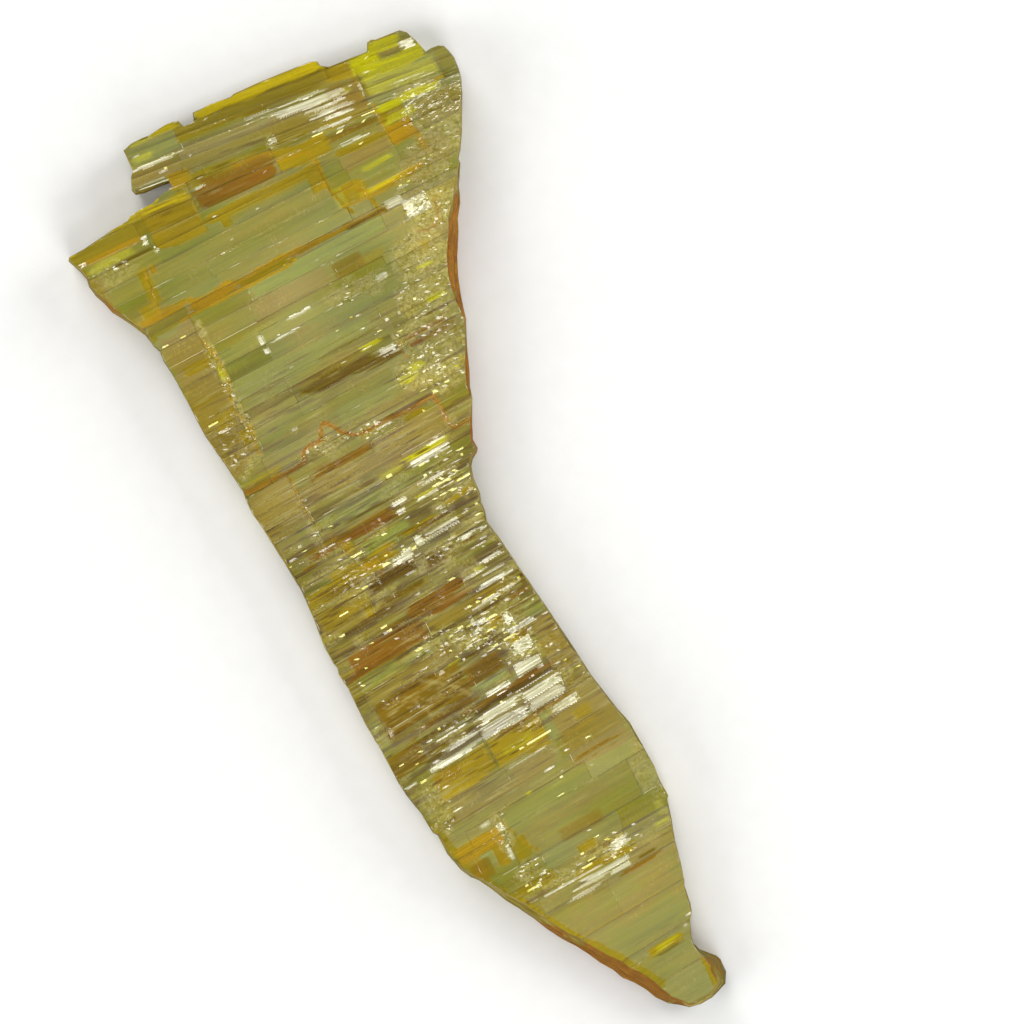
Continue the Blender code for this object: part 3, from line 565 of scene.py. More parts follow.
def cut_breaks(bm, faces, mark):
    """Cut each ledge twice at every break, so that the step is steep."""
    ledges = {}
    for face in faces:
        ledges.setdefault(face[mark], []).append(face)
    for index, group in ledges.items():
        for cut, _ in LEDGES[index][2]:
            near = [f for f in group if abs(f.calc_center_bounds().y / MM - cut) < 0.8]
            far = [f for f in group if abs(f.calc_center_bounds().y / MM - cut) >= 0.8]
            for line in (cut - BREAK, cut + BREAK):
                if near:
                    near = cut_faces(bm, near, 0, line, Vector((0, 1, 0)))
            group = near + far
        ledges[index] = group
    return [f for group in ledges.values() for f in group]


print("first and last cut along the threads:", ROWS[0].round(2), ROWS[-1].round(2))

# %% [markdown]
# ### Resting face
# A stone is turned over in the hand, so its underside is finished too.  Left as one polygon,
# it would be split into long fans of triangles with smeared colours.  It is cut along the
# threads and across, like the upper face, only coarser, and left a little uneven.

# %% Resting face
BASE_CUTS = (0.9, 2.0)     # between the cuts along the threads and across them, mm


def cut_base(bm, base, rim):
    """Cut the resting face into small faces, and lift its recessed end off the floor."""
    known = {vert: vert.co.z for vert in rim}
    for vert in rim:
        vert.co.z = 0.0
    parts = [base]
    # cuts in pairs stand where the recess steps up
    lines = [*np.arange(-46.5, END_OF_FACE, BASE_CUTS[0]), -42.62, -42.58, -40.32, -40.28]
    for line in sorted(lines):
        parts = cut_faces(bm, parts, line, 0, Vector((1, -float(lean_at(line)), 0)).normalized())
    for line in sorted([*np.arange(-18.0, 25.0, BASE_CUTS[1]), -3.02, -2.98]):
        parts = cut_faces(bm, parts, 0, line, Vector((0, 1, 0)))
    verts = list({v for f in parts for v in f.verts})
    x = np.array([v.co.x for v in verts]) / MM
    y = np.array([v.co.y for v in verts]) / MM
    # old ledges leave it a little uneven, and it stands on their highest parts
    uneven = 0.03 * (1 + drift(striation(x, y) / 0.9, y / 7.0, 141))
    for vert, lift, rise in zip(verts, under_lift(x, y), uneven):
        vert.co.z = known[vert] if vert in known else (lift + rise) * MM


print("recess of the head end, mm:", under_lift(np.array([-44.0]), np.array([5.0])))

# %% [markdown]
# ### One closed mesh
# Wall, resting face and upper face share their points, so the blade is closed like the real
# stone.  Last, every point of the upper face moves to its height.  Steep faces are broken
# edges, so they get the dull material of the wall.

# %% Make the mesh
BROKEN = 0.4               # faces whose normal points up less than this are broken edges
WORN = 0.02                # how much lower the rim is worn than the face, mm


def build_blade(spacing):
    """The whole blade as one closed mesh; its broken faces carry the second material."""
    bm = bmesh.new()
    mark = bm.faces.layers.int.new("ledge")
    rings = []
    for ring in wall_rings():
        rings.append([bm.verts.new(Vector(p) * MM) for p in ring])
    for low, high in zip(rings, rings[1:]):
        for i in range(len(low)):
            j = (i + 1) % len(low)
            face = bm.faces.new((low[i], low[j], high[j], high[i]))
            face.material_index = 1
    cut_base(bm, bm.faces.new(list(reversed(rings[0]))), rings[0])
    cap = bm.faces.new(rings[-1])
    rim = set(rings[-1])
    # one level for the cuts, and the heights come last
    for vert in rim:
        vert.co.z = 6.0 * MM
    top = cut_breaks(bm, cut_across(bm, cut_threads(bm, cap, mark), spacing), mark)
    verts = list({v for f in top for v in f.verts})
    x = np.array([v.co.x for v in verts]) / MM
    y = np.array([v.co.y for v in verts]) / MM
    z = face_height(x, y)
    for vert, height in zip(verts, z):
        drop = WORN if any(f.material_index == 1 for f in vert.link_faces) else 0.0
        vert.co.z = (height - drop) * MM
    # the risers of the steps are broken edges too
    for face in top:
        face.normal_update()
        if face.normal.z < BROKEN:
            face.material_index = 1
    return bm


bm = build_blade(0.3)
print(len(bm.verts), "points,", len(bm.faces), "faces")

# %% [markdown]
# ## Films, seams and depth
# Fresh orpiment is lemon yellow where it is thin and golden to amber where the eye looks
# into thick clear crystal; the lemon and honey films are painted brighter still, a painted
# glow of light shining through thin sheets.  Thin altered films turn it orange or pinkish
# tan, and sheets that have come apart look silvery white from the air between them: the
# pale film paints that silvery reflection into the colour, a painted reflection.  Noise
# alone would give such films anywhere.  On this stone each has its place, so each is given
# as a strip along the threads: (x at its middle, lowest y, highest y, width, amount) in mm.

# %% Films of the head
FILM_NAMES = ("green", "tan", "olive", "gold", "lemon", "honey", "seam", "pale", "amber", "red", "rust",
              "deep", "fibre")
FILMS = {name: [] for name in FILM_NAMES}
FILMS["green"] += [(-44.2, -8.6, -3.2, 1.6, 0.5), (-40.9, 15.6, 22.8, 1.4, 0.5)]
FILMS["tan"] += [
    (-41.4, -4.4, 4.8, 2.6, 0.5), (-42.1, -9.3, -4.4, 1.7, 0.8), (-39.6, 5.0, 15.4, 3.2, 0.7),
    (-42.4, 14.6, 15.6, 3.0, 0.5), (-43.2, 18.2, 20.8, 1.0, 0.5), (-34.5, 10.3, 15.6, 1.6, 0.95),
    (-36.0, 19.0, 24.2, 4.0, 0.4), (-31.5, 15.5, 21.0, 3.5, 0.4), (-30.0, -15.6, -11.5, 2.2, 0.35),
    (-33.0, -17.6, -16.2, 4.4, 0.6),
]
FILMS["olive"] += [
    (-43.85, 1.0, 15.0, 2.2, 1.0), (-44.2, -3.4, 1.4, 1.7, 1.0), (-39.6, 23.4, 24.9, 3.2, 0.35),
    (-39.5, -4.2, 4.6, 0.8, 0.8), (-38.9, 4.6, 9.0, 1.0, 0.35), (-38.0, -18.4, -4.8, 2.4, 1.0),
    (-28.0, -14.4, -9.8, 1.6, 0.45), (-42.9, -3.0, 14.0, 0.7, 0.35),
]
FILMS["gold"] += [
    (-43.2, 12.6, 15.4, 2.2, 0.8), (-38.1, 22.2, 23.6, 0.5, 0.8), (-36.9, -9.9, -4.6, 3.9, 1.0),
    (-37.3, 4.6, 10.2, 2.4, 0.9), (-37.0, 15.6, 18.4, 2.4, 0.7), (-35.4, -4.6, 7.8, 1.0, 0.8),
    (-34.7, -3.0, 7.8, 0.8, 0.35), (-31.6, 9.0, 11.6, 1.8, 0.9), (-30.7, 10.2, 17.8, 0.7, 0.7),
    (-34.6, 6.6, 8.4, 3.0, 0.8), (-29.6, -14.2, -12.2, 1.8, 0.8), (-32.2, -12.9, -11.7, 3.6, 0.55),
    (-34.4, -3.0, -2.0, 1.2, 0.8), (-40.3, -6.0, -3.6, 1.6, 0.9), (-38.2, 10.0, 15.8, 1.2, 0.4),
    (-41.0, 14.9, 16.2, 3.4, 0.4), (-39.0, -4.8, 5.2, 0.7, 0.5), (-35.6, 10.0, 15.8, 0.9, 0.7),
    (-33.4, 18.0, 18.9, 2.2, 0.5),
]
# lemon films: the yellow of thin sheets, partly painted brighter as a painted glow of light through them
FILMS["lemon"] += [
    (-45.6, -8.7, -2.5, 0.6, 0.5), (-43.9, -8.4, -6.2, 0.8, 0.45), (-41.15, 10.3, 14.4, 0.5, 0.9),
    (-43.0, 15.4, 18.4, 2.4, 0.9), (-41.6, 15.8, 22.8, 1.6, 0.75), (-43.7, 18.0, 21.2, 1.3, 0.8),
    (-40.0, 15.8, 23.2, 1.8, 0.45), (-37.75, 15.6, 22.8, 1.2, 0.95), (-36.0, -17.2, -11.4, 0.7, 0.4),
    (-33.1, 11.8, 15.2, 0.35, 0.6), (-31.8, 8.2, 9.2, 2.2, 0.25), (-36.4, 16.0, 19.5, 1.0, 0.6),
]
# honey films: thin edges painted bright yellow, a painted glow of light shining through them
FILMS["honey"] += [
    (-45.3, -1.0, 12.9, 1.5, 1.0), (-45.7, -6.0, -2.5, 0.6, 0.6), (-44.2, 12.4, 15.4, 0.8, 0.6),
    (-30.9, 10.6, 17.0, 0.4, 0.6), (-38.7, -12.0, -5.0, 0.5, 0.5),
]
FILMS["amber"] += [
    (-38.4, -3.4, 4.6, 1.1, 0.7), (-37.6, -4.5, 4.5, 1.5, 1.0), (-36.9, -4.0, 4.0, 0.9, 0.9),
    (-37.2, 10.0, 15.6, 1.0, 0.5), (-40.6, 12.0, 15.4, 3.0, 0.35),
]
FILMS["red"] += [(-37.1, 0.6, 4.1, 0.8, 0.5), (-37.2, -3.6, 0.8, 1.0, 0.3)]
FILMS["deep"] += [
    (-44.4, 0.2, 14.0, 0.5, 0.35), (-43.1, 2.0, 12.0, 0.35, 0.4), (-35.3, -14.5, -10.4, 0.3, 0.6),
]
FILMS["seam"] += [
    (-40.4, -5.9, -4.2, 1.4, 0.5), (-38.7, 0.2, 4.6, 0.9, 0.8), (-36.75, -17.4, -11.0, 0.4, 0.8),
    (-34.9, 15.9, 18.5, 2.5, 1.0), (-33.3, -11.5, -10.9, 0.8, 0.8),
]
# pale films are painted lighter, a painted silvery reflection, and their facets also lean towards a lamp
FILMS["pale"] += [
    (-42.9, -8.6, -3.5, 0.35, 0.6), (-41.0, -9.6, -6.0, 0.6, 0.6), (-41.4, 6.6, 14.0, 0.8, 0.8),
    (-42.2, 3.0, 12.5, 0.7, 0.3), (-40.6, 11.2, 13.6, 0.35, 0.8), (-39.9, 9.4, 14.2, 0.4, 0.75),
    (-39.2, 10.0, 14.5, 0.35, 0.7), (-38.5, 9.0, 13.4, 0.4, 0.6), (-39.8, 4.9, 5.6, 0.7, 0.4),
    (-40.5, 9.4, 13.8, 0.3, 0.4), (-42.0, 5.6, 9.0, 0.4, 0.35), (-40.6, 15.2, 15.6, 1.8, 0.25),
    (-42.8, 20.8, 22.2, 1.3, 0.95), (-38.4, -3.9, -2.6, 0.7, 0.9), (-38.7, -18.3, -13.2, 0.35, 0.7),
    (-36.3, -11.0, -10.4, 0.8, 0.25), (-35.0, -10.2, -9.8, 0.7, 0.25), (-35.3, -14.8, -14.3, 0.5, 0.6),
    (-36.2, 10.5, 14.0, 0.4, 0.7), (-39.2, 18.0, 22.8, 0.5, 0.2),
]
print(sum(len(v) for v in FILMS.values()), "films on the head")

# %% Films of the broad middle
FILMS["seam"] += [(-28.35, -9.4, -4.6, 1.1, 0.9), (-28.8, -14.6, -9.5, 0.7, 0.8)]
FILMS["gold"] += [
    (-28.35, -4.6, 2.2, 0.9, 0.6), (-28.6, 2.0, 12.4, 0.35, 0.7), (-24.9, 7.5, 10.5, 1.2, 0.3),
    (-23.5, 14.0, 14.6, 1.0, 0.6), (-22.6, -13.0, -10.0, 1.0, 0.5), (-16.5, -12.5, -10.4, 1.4, 0.5),
    (-14.2, -10.8, -9.3, 1.6, 0.6), (-23.4, -10.1, -9.3, 1.2, 0.7), (-8.9, 4.5, 7.8, 0.5, 0.5),
    (-6.6, -12.5, -8.2, 3.6, 0.2), (-9.6, -12.8, -8.4, 1.0, 0.4),
]
FILMS["green"] += [
    (-27.2, -3.6, 11.6, 1.5, 0.8), (-22.4, -9.0, 2.0, 2.0, 0.35), (-18.9, -9.0, 6.0, 2.0, 0.5),
    (-12.0, -1.0, 5.0, 1.6, 0.4), (-3.0, -6.0, 6.0, 1.2, 0.3),
]
FILMS["tan"] += [
    (-25.0, -3.8, 4.4, 1.9, 0.6), (-16.8, -3.8, 3.6, 0.9, 0.5), (-15.3, 10.2, 14.2, 1.0, 0.7),
    (-10.8, 1.5, 5.8, 1.0, 0.6), (-19.0, -13.8, -9.9, 15.0, 0.9), (-7.2, 0.9, 8.4, 3.0, 0.85),
    (-6.4, -7.6, 1.0, 1.6, 0.8), (-6.6, -12.9, -8.2, 4.8, 0.9), (-3.5, -12.4, -9.8, 2.5, 0.5),
]
FILMS["amber"] += [
    (-25.4, 4.8, 8.2, 1.7, 0.4), (-15.3, 8.6, 12.8, 0.3, 0.6), (-7.85, -6.2, 0.9, 0.7, 1.0),
    (-1.0, -10.0, 0.2, 0.9, 0.5), (-0.85, -5.2, 0.0, 0.9, 0.9),
]
FILMS["deep"] += [
    (-28.55, 8.0, 12.4, 0.35, 0.7), (-18.2, 0.0, 6.0, 0.4, 0.4), (-16.05, -3.4, 4.6, 0.35, 0.85),
    (-15.75, -4.2, 6.0, 0.3, 0.9), (-15.45, -2.4, 7.0, 0.35, 0.9), (-16.35, -1.6, 2.6, 0.25, 0.6),
    (-15.1, 2.2, 7.6, 0.5, 0.8), (-4.3, -0.5, 3.2, 0.3, 0.5), (-4.6, -3.5, -0.5, 0.2, 0.5),
    (-2.25, -5.0, 1.5, 0.2, 0.6),
]
FILMS["red"] += [
    (-28.5, 1.5, 5.0, 0.35, 0.4), (-16.05, 8.4, 12.8, 0.25, 0.8), (-15.25, 8.6, 10.2, 0.3, 0.8),
    (-0.8, -6.2, 0.0, 0.7, 0.6), (-0.45, -4.0, -0.2, 0.25, 0.8), (-0.4, -9.8, -6.6, 0.5, 0.6),
    (0.4, -11.5, -9.2, 0.3, 0.6),
]
FILMS["lemon"] += [
    (-17.1, 4.0, 6.6, 0.4, 1.0), (-18.5, 12.0, 14.2, 0.35, 0.9), (-21.8, 12.6, 14.2, 0.35, 0.7),
    (-13.2, 7.4, 9.0, 0.5, 0.8), (-12.6, 5.9, 8.2, 0.8, 0.45), (-12.0, 6.4, 7.6, 0.4, 0.6),
    (-20.9, -9.8, -9.2, 1.6, 0.8), (-5.2, 2.8, 7.8, 0.45, 0.9), (-4.45, 3.5, 6.0, 0.3, 0.6),
    (-4.6, 0.0, 2.6, 0.9, 0.35), (-1.3, 2.4, 4.6, 0.4, 0.7),
]
FILMS["pale"] += [
    (-27.5, 14.0, 16.6, 1.8, 0.5), (-28.9, 12.4, 14.4, 0.8, 0.6), (-23.0, -1.3, 1.3, 0.3, 0.6),
    (-21.7, -3.8, -0.5, 0.25, 0.4), (-22.6, 8.2, 9.8, 0.6, 0.5), (-22.4, -4.8, -4.3, 1.0, 0.7),
    (-21.1, -4.8, -4.3, 0.5, 0.9), (-15.8, 5.2, 7.3, 0.8, 0.9), (-5.55, 5.5, 8.0, 0.2, 0.8),
    (-4.5, 3.6, 7.6, 0.5, 0.8), (-2.3, 3.0, 6.6, 0.2, 0.6), (-1.6, 0.0, 1.4, 0.45, 0.95),
    (-0.75, 0.0, 1.0, 0.4, 0.95), (-1.05, 2.5, 5.0, 0.25, 0.8),
]
print(sum(len(v) for v in FILMS.values()), "films on head and middle")

# %% Films of the waist, where the striations are strongest
FILMS["gold"] += [
    (0.1, -6.4, -5.4, 1.4, 0.8), (0.35, 4.9, 8.0, 0.5, 0.9), (1.35, -1.0, 4.4, 0.6, 0.95),
    (1.5, -0.8, 0.8, 0.5, 0.6), (2.6, -9.0, -1.6, 1.6, 0.8), (3.6, -12.0, -6.6, 1.6, 0.7),
    (5.6, -11.8, -6.2, 2.0, 0.4), (6.8, -7.2, -6.2, 1.4, 0.6), (13.2, 3.4, 5.0, 0.9, 0.8),
    (15.5, 4.6, 6.6, 1.0, 0.9), (25.2, -1.9, 3.9, 2.9, 0.8), (25.3, 7.0, 9.0, 1.2, 0.4),
    (25.6, -8.4, -2.2, 2.8, 0.85),
]
FILMS["seam"] += [(2.9, -5.6, -3.6, 0.8, 0.6), (26.6, 3.0, 9.0, 0.2, 0.35)]
FILMS["deep"] += [
    (4.7, -6.0, -0.6, 1.1, 1.0), (5.1, 0.4, 2.6, 1.0, 0.7), (6.6, -5.6, -0.5, 0.6, 0.6),
    (7.7, -10.2, -4.5, 0.35, 0.7), (11.5, 3.0, 8.0, 0.3, 0.5), (14.4, 2.2, 4.0, 0.8, 0.6),
    (17.4, -10.2, -1.0, 1.6, 0.35), (16.9, -0.6, 3.0, 1.6, 0.6), (20.6, -9.8, -1.0, 0.3, 0.8),
    (20.25, -2.0, 7.8, 0.35, 1.0), (15.1, -1.0, 6.5, 0.5, 0.6), (22.9, -9.0, -6.0, 0.25, 0.7),
    (19.0, -10.6, -6.0, 1.4, 0.35), (23.75, -2.1, 3.3, 0.2, 0.9), (22.95, 3.3, 9.0, 0.2, 0.85),
    (20.75, -7.4, -2.0, 0.2, 0.6), (22.0, -7.5, -2.4, 0.25, 0.6), (22.6, -8.0, -4.5, 0.5, 0.4),
    (29.3, -9.8, -8.0, 0.4, 0.5),
]
FILMS["amber"] += [
    (8.6, -3.5, 2.6, 1.2, 0.7), (10.7, -10.8, -7.0, 1.6, 0.4), (11.8, 5.8, 8.6, 0.5, 0.8),
    (14.2, -3.0, -1.2, 0.2, 0.6), (17.2, -10.6, -1.0, 3.6, 0.55), (16.9, -1.0, 3.0, 1.8, 0.7),
    (19.4, -7.0, 0.0, 0.7, 0.5), (19.9, -3.0, 7.6, 0.7, 0.9), (23.3, -0.8, 9.0, 0.3, 0.95),
    (29.0, 5.2, 10.8, 0.25, 0.9), (25.2, -8.4, -5.5, 1.2, 0.4), (21.8, -11.8, -8.0, 2.4, 0.5),
]
FILMS["red"] += [
    (1.75, 0.5, 4.2, 0.15, 0.5), (4.72, 4.4, 6.9, 0.2, 0.9), (8.6, -3.0, 3.0, 1.2, 0.5),
    (9.1, -7.0, 0.0, 0.5, 0.5), (9.6, -1.5, 3.6, 0.6, 0.8), (11.0, -10.9, -2.4, 2.1, 0.6),
    (12.0, -12.0, -4.0, 0.4, 0.6), (19.9, 3.0, 7.6, 0.4, 0.6),
]
FILMS["tan"] += [
    (6.2, -11.9, -6.6, 2.2, 0.8), (10.6, -2.0, 7.0, 1.0, 0.9), (14.2, -10.6, -1.0, 1.4, 0.6),
    (14.6, -7.0, 0.5, 0.6, 0.7), (22.0, -2.0, 7.4, 2.4, 0.7), (18.0, 7.2, 10.2, 6.0, 0.8),
    (24.5, 4.8, 8.6, 1.6, 0.7), (26.6, 4.9, 11.2, 5.6, 0.8), (23.0, 7.6, 10.6, 4.0, 0.5),
    (28.0, -1.0, 3.6, 2.2, 0.7), (29.0, -9.0, 3.0, 1.0, 0.6),
]
FILMS["green"] += [
    (13.4, -10.8, -2.4, 0.9, 0.5), (18.3, -0.6, 3.0, 0.9, 0.8), (13.9, 7.2, 9.6, 2.2, 0.5),
    (13.0, -10.8, -6.5, 1.0, 0.7), (1.0, -4.6, 0.8, 1.6, 0.8), (-3.2, -7.4, 5.0, 1.4, 0.4),
    (18.2, -11.9, -10.6, 3.6, 0.35), (25.5, 4.0, 5.0, 3.4, 0.5),
]
FILMS["lemon"] += [
    (3.4, -3.9, -3.5, 0.5, 0.8), (7.85, 4.4, 5.6, 0.3, 0.6), (16.2, 5.2, 6.2, 0.4, 0.8),
    (15.2, -2.2, -0.7, 0.2, 0.9), (25.3, -1.0, 2.5, 0.8, 0.3),
]
FILMS["pale"] += [
    (2.35, 1.5, 5.4, 0.35, 0.5), (2.8, 1.0, 6.4, 0.25, 0.4), (2.75, 0.4, 1.2, 0.9, 0.95),
    (3.6, -2.6, -0.4, 0.6, 0.9), (3.3, -1.2, -0.3, 0.9, 0.8), (4.3, 4.2, 6.4, 0.35, 0.9),
    (9.45, 4.2, 8.0, 0.4, 1.0), (8.55, 5.0, 7.4, 0.25, 0.8), (8.1, 3.0, 6.6, 0.2, 0.6),
    (7.4, 5.0, 7.8, 0.3, 0.5), (11.1, 3.0, 5.6, 0.3, 0.6), (10.8, 6.0, 7.6, 0.3, 0.4),
    (13.6, 5.0, 5.8, 1.2, 0.95), (12.7, 2.2, 3.4, 0.45, 0.9), (13.4, 1.2, 2.8, 0.4, 0.9),
    (14.7, 6.2, 7.8, 0.5, 0.9), (14.85, 4.7, 6.2, 0.6, 0.95), (16.5, 4.4, 6.6, 1.2, 0.9),
    (15.5, -3.2, -2.7, 0.4, 0.9), (20.35, 2.0, 8.0, 0.15, 0.7), (18.8, 3.8, 6.6, 1.4, 0.75),
    (19.5, 0.2, 3.2, 0.5, 0.95), (21.1, 3.4, 7.6, 0.9, 0.8), (21.4, -2.0, 3.3, 0.8, 0.9),
    (22.4, 3.4, 7.4, 1.0, 0.55), (22.7, -2.0, 3.3, 1.2, 0.6), (21.2, -7.5, -2.4, 0.5, 0.85),
    (22.6, -6.5, -2.3, 0.4, 0.6), (23.65, -8.0, -2.2, 0.5, 0.95), (23.8, 5.2, 8.3, 0.8, 0.55),
    (26.9, -1.3, 3.9, 0.18, 0.45),
]
print(sum(len(v) for v in FILMS.values()), "films without the tail's")

# %% Films of the tail
FILMS["green"] += [(31.0, -4.0, 11.0, 1.8, 0.4), (34.6, -7.4, -6.2, 1.6, 0.6)]
FILMS["tan"] += [
    (33.4, -3.6, 7.0, 1.2, 0.35), (41.0, 5.5, 11.0, 1.8, 0.5), (44.8, -1.0, 9.0, 2.0, 0.25),
    (45.0, 0.6, 2.6, 1.6, 0.3), (55.2, 8.6, 9.6, 2.5, 0.5),
]
FILMS["seam"] += [
    (32.9, -9.8, -4.6, 1.8, 0.75), (34.4, -6.2, -4.9, 2.2, 0.5), (34.6, -9.0, -7.6, 2.0, 0.4),
]
FILMS["gold"] += [
    (34.8, -4.4, -2.6, 2.2, 0.5), (37.6, 1.6, 3.6, 0.9, 0.7), (38.6, -6.0, -1.5, 1.2, 0.5),
    (39.6, 0.0, 7.0, 0.9, 0.6), (49.9, 3.3, 7.4, 0.8, 0.9), (54.4, 7.8, 9.6, 4.4, 0.9),
]
FILMS["amber"] += [
    (35.2, 0.5, 5.5, 1.4, 0.35), (35.2, -9.0, -6.8, 2.0, 0.5), (41.5, 4.2, 9.2, 0.4, 0.8),
]
FILMS["deep"] += [
    (38.2, 3.8, 5.0, 0.5, 0.6), (40.8, 6.5, 8.5, 0.3, 0.6), (50.4, 4.0, 7.2, 0.25, 0.5),
    (56.5, 4.5, 8.5, 0.7, 0.4),
]
FILMS["lemon"] += [
    (30.2, -0.7, -0.2, 0.3, 0.8), (38.7, 9.5, 11.2, 0.4, 0.4), (37.2, 10.4, 11.2, 1.4, 0.2),
    (49.8, 3.6, 6.8, 0.5, 0.5),
]
FILMS["pale"] += [
    (34.6, -4.9, -4.55, 1.5, 0.9), (32.0, -4.7, -4.1, 0.7, 0.7), (31.2, -6.2, -5.2, 0.4, 0.8),
    (38.6, 4.6, 6.6, 0.9, 0.7), (40.4, -0.4, 5.6, 0.4, 0.75), (40.9, -0.8, 3.4, 0.3, 0.5),
    (40.9, 3.6, 5.6, 0.5, 0.8), (41.6, -1.6, 2.4, 0.3, 0.35), (40.0, -3.8, 3.0, 0.2, 0.4),
    (49.0, 7.7, 8.2, 0.25, 0.7),
]
print(sum(len(v) for v in FILMS.values()), "films")

# %% [markdown]
# ### Seams and fibres
# Water crept along cracks and left thin golden and rusty seams that cross the threads.  Each
# is a chain of points with a width.  A few sheet ends are frayed into curly fibres, which
# are walks that keep turning one way, because no two of them need a place of their own.

# %% Seams that cross the threads
# (film, width, amount, points)
SEAMS = [
    ("seam", 0.26, 0.9, [
        (-28.6, 12.2), (-28.7, 8.0), (-28.8, 3.0), (-28.75, -1.0), (-28.3, -6.0), (-28.1, -9.5)]),
    ("seam", 0.22, 0.8, [(-27.9, 2.0), (-27.65, -3.0), (-27.6, -7.0), (-27.5, -11.0)]),
    ("seam", 0.3, 0.8, [(-28.9, -9.0), (-29.1, -11.5), (-28.9, -14.6)]),
    ("rust", 0.26, 1.0, [
        (-9.7, 8.4), (-9.65, 4.0), (-9.4, 1.2), (-9.6, 0.0), (-10.4, -1.4), (-11.4, -1.9),
        (-12.0, -2.5), (-11.7, -3.1), (-10.7, -3.6), (-10.7, -5.0), (-10.3, -5.7), (-9.3, -6.0),
        (-9.2, -9.0), (-9.1, -12.5)]),
    ("rust", 0.18, 0.8, [(-9.7, 8.4), (-8.0, 8.65), (-6.5, 8.7), (-5.9, 8.8), (-6.1, 10.8)]),
    ("rust", 0.16, 0.5, [(-9.0, 6.8), (-9.3, 5.0), (-9.6, 3.0)]),
    ("seam", 0.28, 0.6, [
        (-37.6, 4.8), (-37.2, 8.0), (-35.6, 8.15), (-33.5, 8.0), (-32.0, 8.3), (-29.8, 9.2)]),
    ("seam", 0.26, 0.6, [(-32.2, 8.3), (-32.2, 10.3), (-31.2, 11.2), (-30.2, 11.4), (-28.7, 11.8)]),
    ("seam", 0.22, 0.6, [(-30.6, 8.7), (-30.4, 13.0), (-30.9, 15.5), (-31.1, 17.5)]),
    ("seam", 0.2, 0.6, [(-38.6, 15.8), (-36.5, 15.7), (-34.0, 15.9)]),
    ("seam", 0.22, 0.6, [(-34.4, 18.6), (-33.2, 18.5), (-32.0, 18.7)]),
    ("seam", 0.22, 0.6, [(-33.8, -12.0), (-32.4, -12.4), (-31.0, -12.3), (-29.2, -12.6)]),
    ("rust", 0.16, 0.5, [(-27.6, 17.4), (-26.2, 17.0), (-25.2, 16.4), (-24.8, 15.2), (-25.2, 14.3)]),
    ("rust", 0.14, 0.4, [(-16.2, 7.9), (-15.4, 7.5), (-14.2, 7.9)]),
    ("gold", 1.1, 0.5, [
        (39.4, -6.2), (42.6, -4.4), (45.4, -2.6), (48.0, -0.4), (50.4, 1.2), (53.0, 3.0)]),
    ("olive", 0.6, 0.6, [(29.0, -10.3), (33.0, -9.6), (36.5, -7.8), (40.0, -6.0)]),
    ("olive", 0.5, 0.5, [(-36.0, -17.6), (-33.0, -17.1), (-30.0, -15.8), (-27.0, -14.2)]),
    ("honey", 0.4, 0.7, [(-38.2, -18.0), (-38.7, -15.0), (-39.0, -12.0), (-39.5, -8.0)]),
    ("seam", 0.14, 0.5, [(32.0, -3.9), (33.5, -3.4), (35.0, -2.6), (35.9, -1.9)]),
    ("rust", 0.16, 0.5, [(1.7, -2.0), (3.0, -3.2), (4.6, -4.6)]),
    ("rust", 0.14, 0.4, [(-1.6, -6.9), (0.2, -6.3), (1.4, -5.5)]),
    ("seam", 0.18, 0.5, [
        (-25.0, -9.9), (-22.8, -9.3), (-20.0, -9.4), (-17.0, -10.2), (-14.6, -9.3), (-12.0, -9.8)]),
    ("fibre", 0.3, 0.8, [(15.4, -5.2), (16.2, -3.9), (16.9, -2.9), (17.8, -2.0), (18.8, -1.2)]),
    ("rust", 0.14, 0.5, [(-8.8, -8.2), (-6.4, -8.0), (-4.0, -8.0)]),
]
print(len(SEAMS), "seams")


# %% Curly fibres
def curly_fibres(count, seed):
    """Fine curly fibres over the amber block: each a short walk that keeps turning one way."""
    fibres = []
    for number in range(count):
        x, y = 15.6 + 4.0 * scatter(number, seed), -10.0 + 8.0 * scatter(number, seed + 1)
        heading, turn = 1.2 * scatter(number, seed + 2), 1.1 * (scatter(number, seed + 3) - 0.5)
        points = [(x, y)]
        for step in range(5):
            x, y = x + 0.5 * np.sin(heading), y + 0.5 * np.cos(heading)
            heading = heading + turn
            points.append((x, y))
        fibres.append(("fibre", 0.02, 0.3 + 0.6 * scatter(number, seed + 4), points))
    return fibres


SEAMS += curly_fibres(20, 151)
print(len(SEAMS), "seams and fibres")


# %% How strongly a film or seam covers a point
def film_amount(name, x, y, s):
    """How strongly one film covers each point; every thread ends it at a place of its own."""
    total = np.zeros(len(x))
    thread = np.searchsorted(ROWS, s)
    for number, (cx, low, high, width, amount) in enumerate(FILMS[name]):
        middle = 0.5 * (low + high)
        centre = striation(np.array([cx]), np.array([middle]))[0]
        across = np.abs(s - centre + 0.16 * width * drift(y / 2.5, s * 0 + number, 61))
        near = np.where(across < 0.5 * width + 0.3)[0]
        yn, row = y[near], thread[near]
        slim = min(1.0, max(0.15, 0.6 / width - 0.15))
        fade = 0.12 + min(0.5, 0.06 * slim * (high - low))
        reach = slim * min(2.4, 0.3 * (high - low))
        start = low - fade + reach * (scatter(row, 62 + number) ** 2 - 0.1)
        stop = high + fade - reach * (scatter(row, 162 + number) ** 2 - 0.1)
        inside = soft(0.5 * width + 0.10, 0.5 * width - 0.08, across[near])
        inside = inside * soft(start, start + 2 * fade, yn) * soft(stop, stop - 2 * fade, yn)
        total[near] = np.maximum(total[near], amount * inside)
    return total


